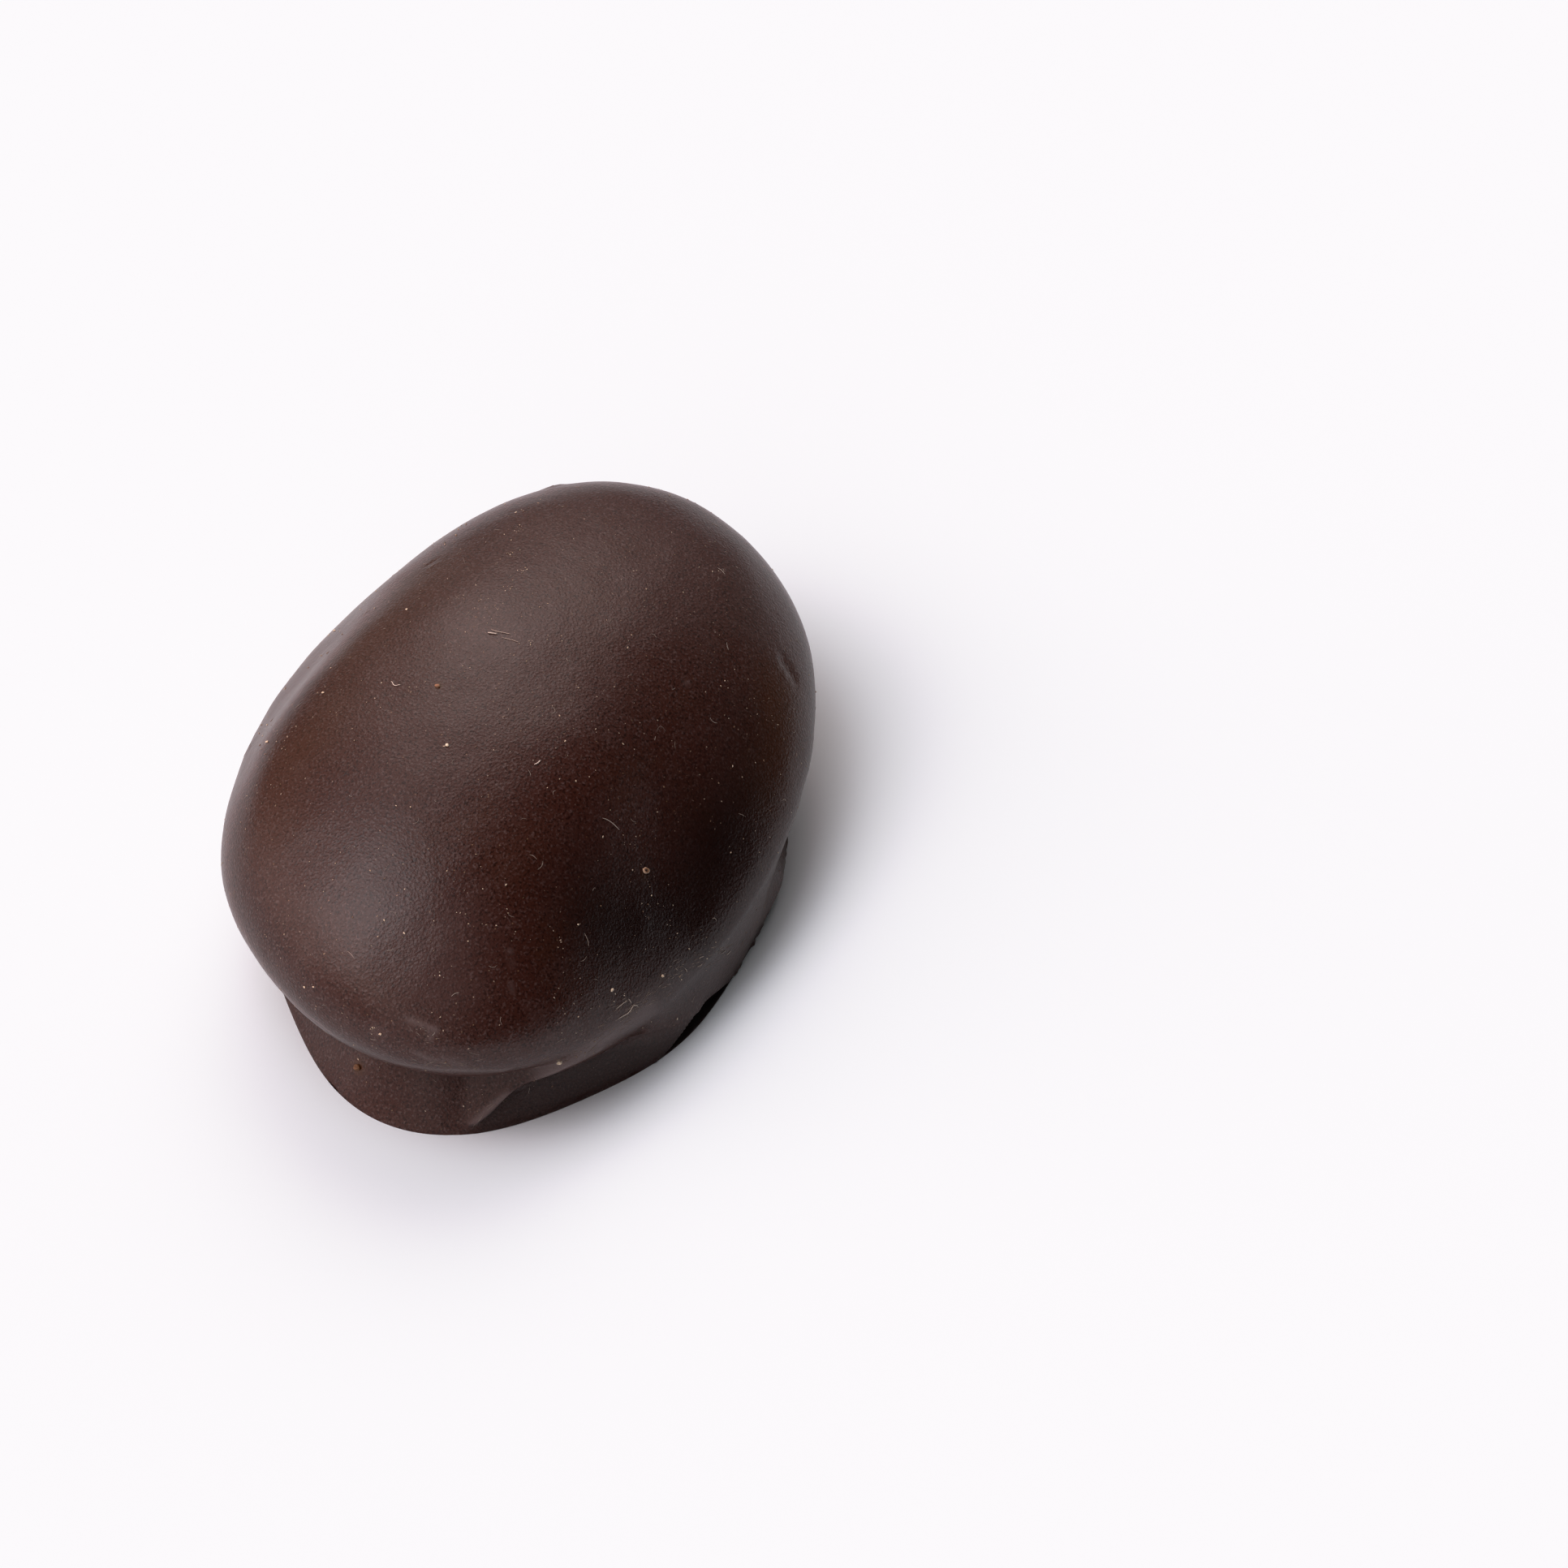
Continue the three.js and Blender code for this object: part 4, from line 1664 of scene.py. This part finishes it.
@dataclass
class Studio:
    """A wide pale floor, soft lights behind and to the left, and a room that is dim on the right."""

    floor_size: float = 3.0
    floor_colour: Colour = (0.87, 0.955, 1.0, 1.0)
    floor_roughness: float = 0.9
    floor_shine: float = 0.1
    dim: tuple[float, float, float] = (0.004, 0.004, 0.004)
    glows: tuple[Glow, ...] = (
        Glow(31, 46, 14, 2.66, (1.0, 0.86, 0.83)),
        Glow(20, 24, 16, 0.16, (1.0, 0.65, 0.68)),
        Glow(55, 32, 16, 0.26, (1.0, 0.62, 0.45)),
        Glow(105, 55, 14, 0.20, (1.0, 0.70, 0.70)),
        Glow(122, 14, 16, 1.66, (1.0, 0.76, 0.72)),
        Glow(136, 70, 12, 2.90, (0.97, 0.955, 1.0)),
        Glow(142, 45, 14, 2.50, (1.0, 0.86, 0.86)),
        Glow(166, 34, 16, 0.30, (1.0, 0.60, 0.45)),
        Glow(192, 20, 16, 0.76, (1.0, 0.97, 0.98)),
        Glow(60, 10, 14, 0.17, (0.85, 1.0, 0.95)),
        Glow(348, 14, 12, 0.23, (0.75, 1.0, 0.98)),
    )

    def build(self) -> None:
        """Makes the floor, the lights and the room."""
        half = self.floor_size / 2
        mesh = bpy.data.meshes.new("floor")
        corners = [(-half, -half, 0), (half, -half, 0), (half, half, 0), (-half, half, 0)]
        mesh.from_pydata(corners, [], [(0, 1, 2, 3)])
        floor = bpy.data.objects.new("floor", mesh)
        bpy.context.scene.collection.objects.link(floor)
        material, tree, shader = new_material("pale_floor")
        feed(tree, shader, {"Base Color": self.floor_colour, "Roughness": self.floor_roughness,
                            "Specular IOR Level": self.floor_shine})
        mesh.materials.append(material)
        self.room()

    def room(self) -> None:
        """Makes the room: dim all round, with the wide glows added."""
        world = bpy.data.worlds.new("room")
        bpy.context.scene.world = world
        world.use_nodes = True
        tree = world.node_tree
        tree.nodes.clear()
        way = new_node(tree, "ShaderNodeTexCoord").outputs["Generated"]
        light = new_node(tree, "ShaderNodeCombineXYZ", dict(enumerate(self.dim))).outputs["Vector"]
        for glow in self.glows:
            light = glow.add(tree, way, light)
        shader = new_node(tree, "ShaderNodeBackground", {"Color": light})
        new_node(tree, "ShaderNodeOutputWorld", {"Surface": shader.outputs["Background"]})


@dataclass(frozen=True)
class Print:
    """How the picture is printed: deep tones a little deeper, the pale floor up to paper white."""

    curve: tuple[Pair, ...] = (
        (0.004, 0.0020), (0.01, 0.0072), (0.02, 0.0167), (0.035, 0.0314), (0.055, 0.0513),
        (0.08, 0.0762), (0.11, 0.106), (0.15, 0.146), (0.20, 0.215), (0.28, 0.33),
        (0.38, 0.50), (0.50, 0.70), (0.65, 0.92), (0.78, 1.0),
    )

    def build(self) -> None:
        """Puts the tone curve on the picture."""
        view = bpy.context.scene.view_settings
        view.use_curve_mapping = True
        tone = view.curve_mapping.curves[3]
        for light, shown in self.curve:
            tone.points.new(light, shown)
        view.curve_mapping.update()


def attach(piece: Piece, material: bpy.types.Material) -> None:
    """Gives a piece its finish, lets it ride with the body and reports it.

    Args:
        piece: The piece.
        material: The finish.
    """
    piece.data.materials.append(material)
    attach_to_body(piece, "root")
    LOG.info("%s: %d faces", piece.name, len(piece.data.polygons))


def main() -> None:
    """Builds the studio, the coat and what lies on it."""
    logging.basicConfig(level=logging.INFO, format="%(name)s: %(message)s")
    bpy.context.scene.view_settings.view_transform = "Standard"
    Print().build()
    eye = Eye()
    coating = Coating()
    coat, skin = coating.build(eye)
    eye.build(coating.shift)
    clouds, paleness = Clouds(), Paleness()
    attach(coat, DarkChocolate().build(clouds))
    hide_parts(NODE)
    attach(Crumbs().build(skin), CRUMB_FINISH.build(clouds, paleness))
    attach(Dust().build(skin), DUST_FINISH.build(clouds, paleness))
    attach(Lint().build(skin), LINT_FINISH.build(clouds, paleness))
    Studio().build()


if __name__ == "__main__":
    main()
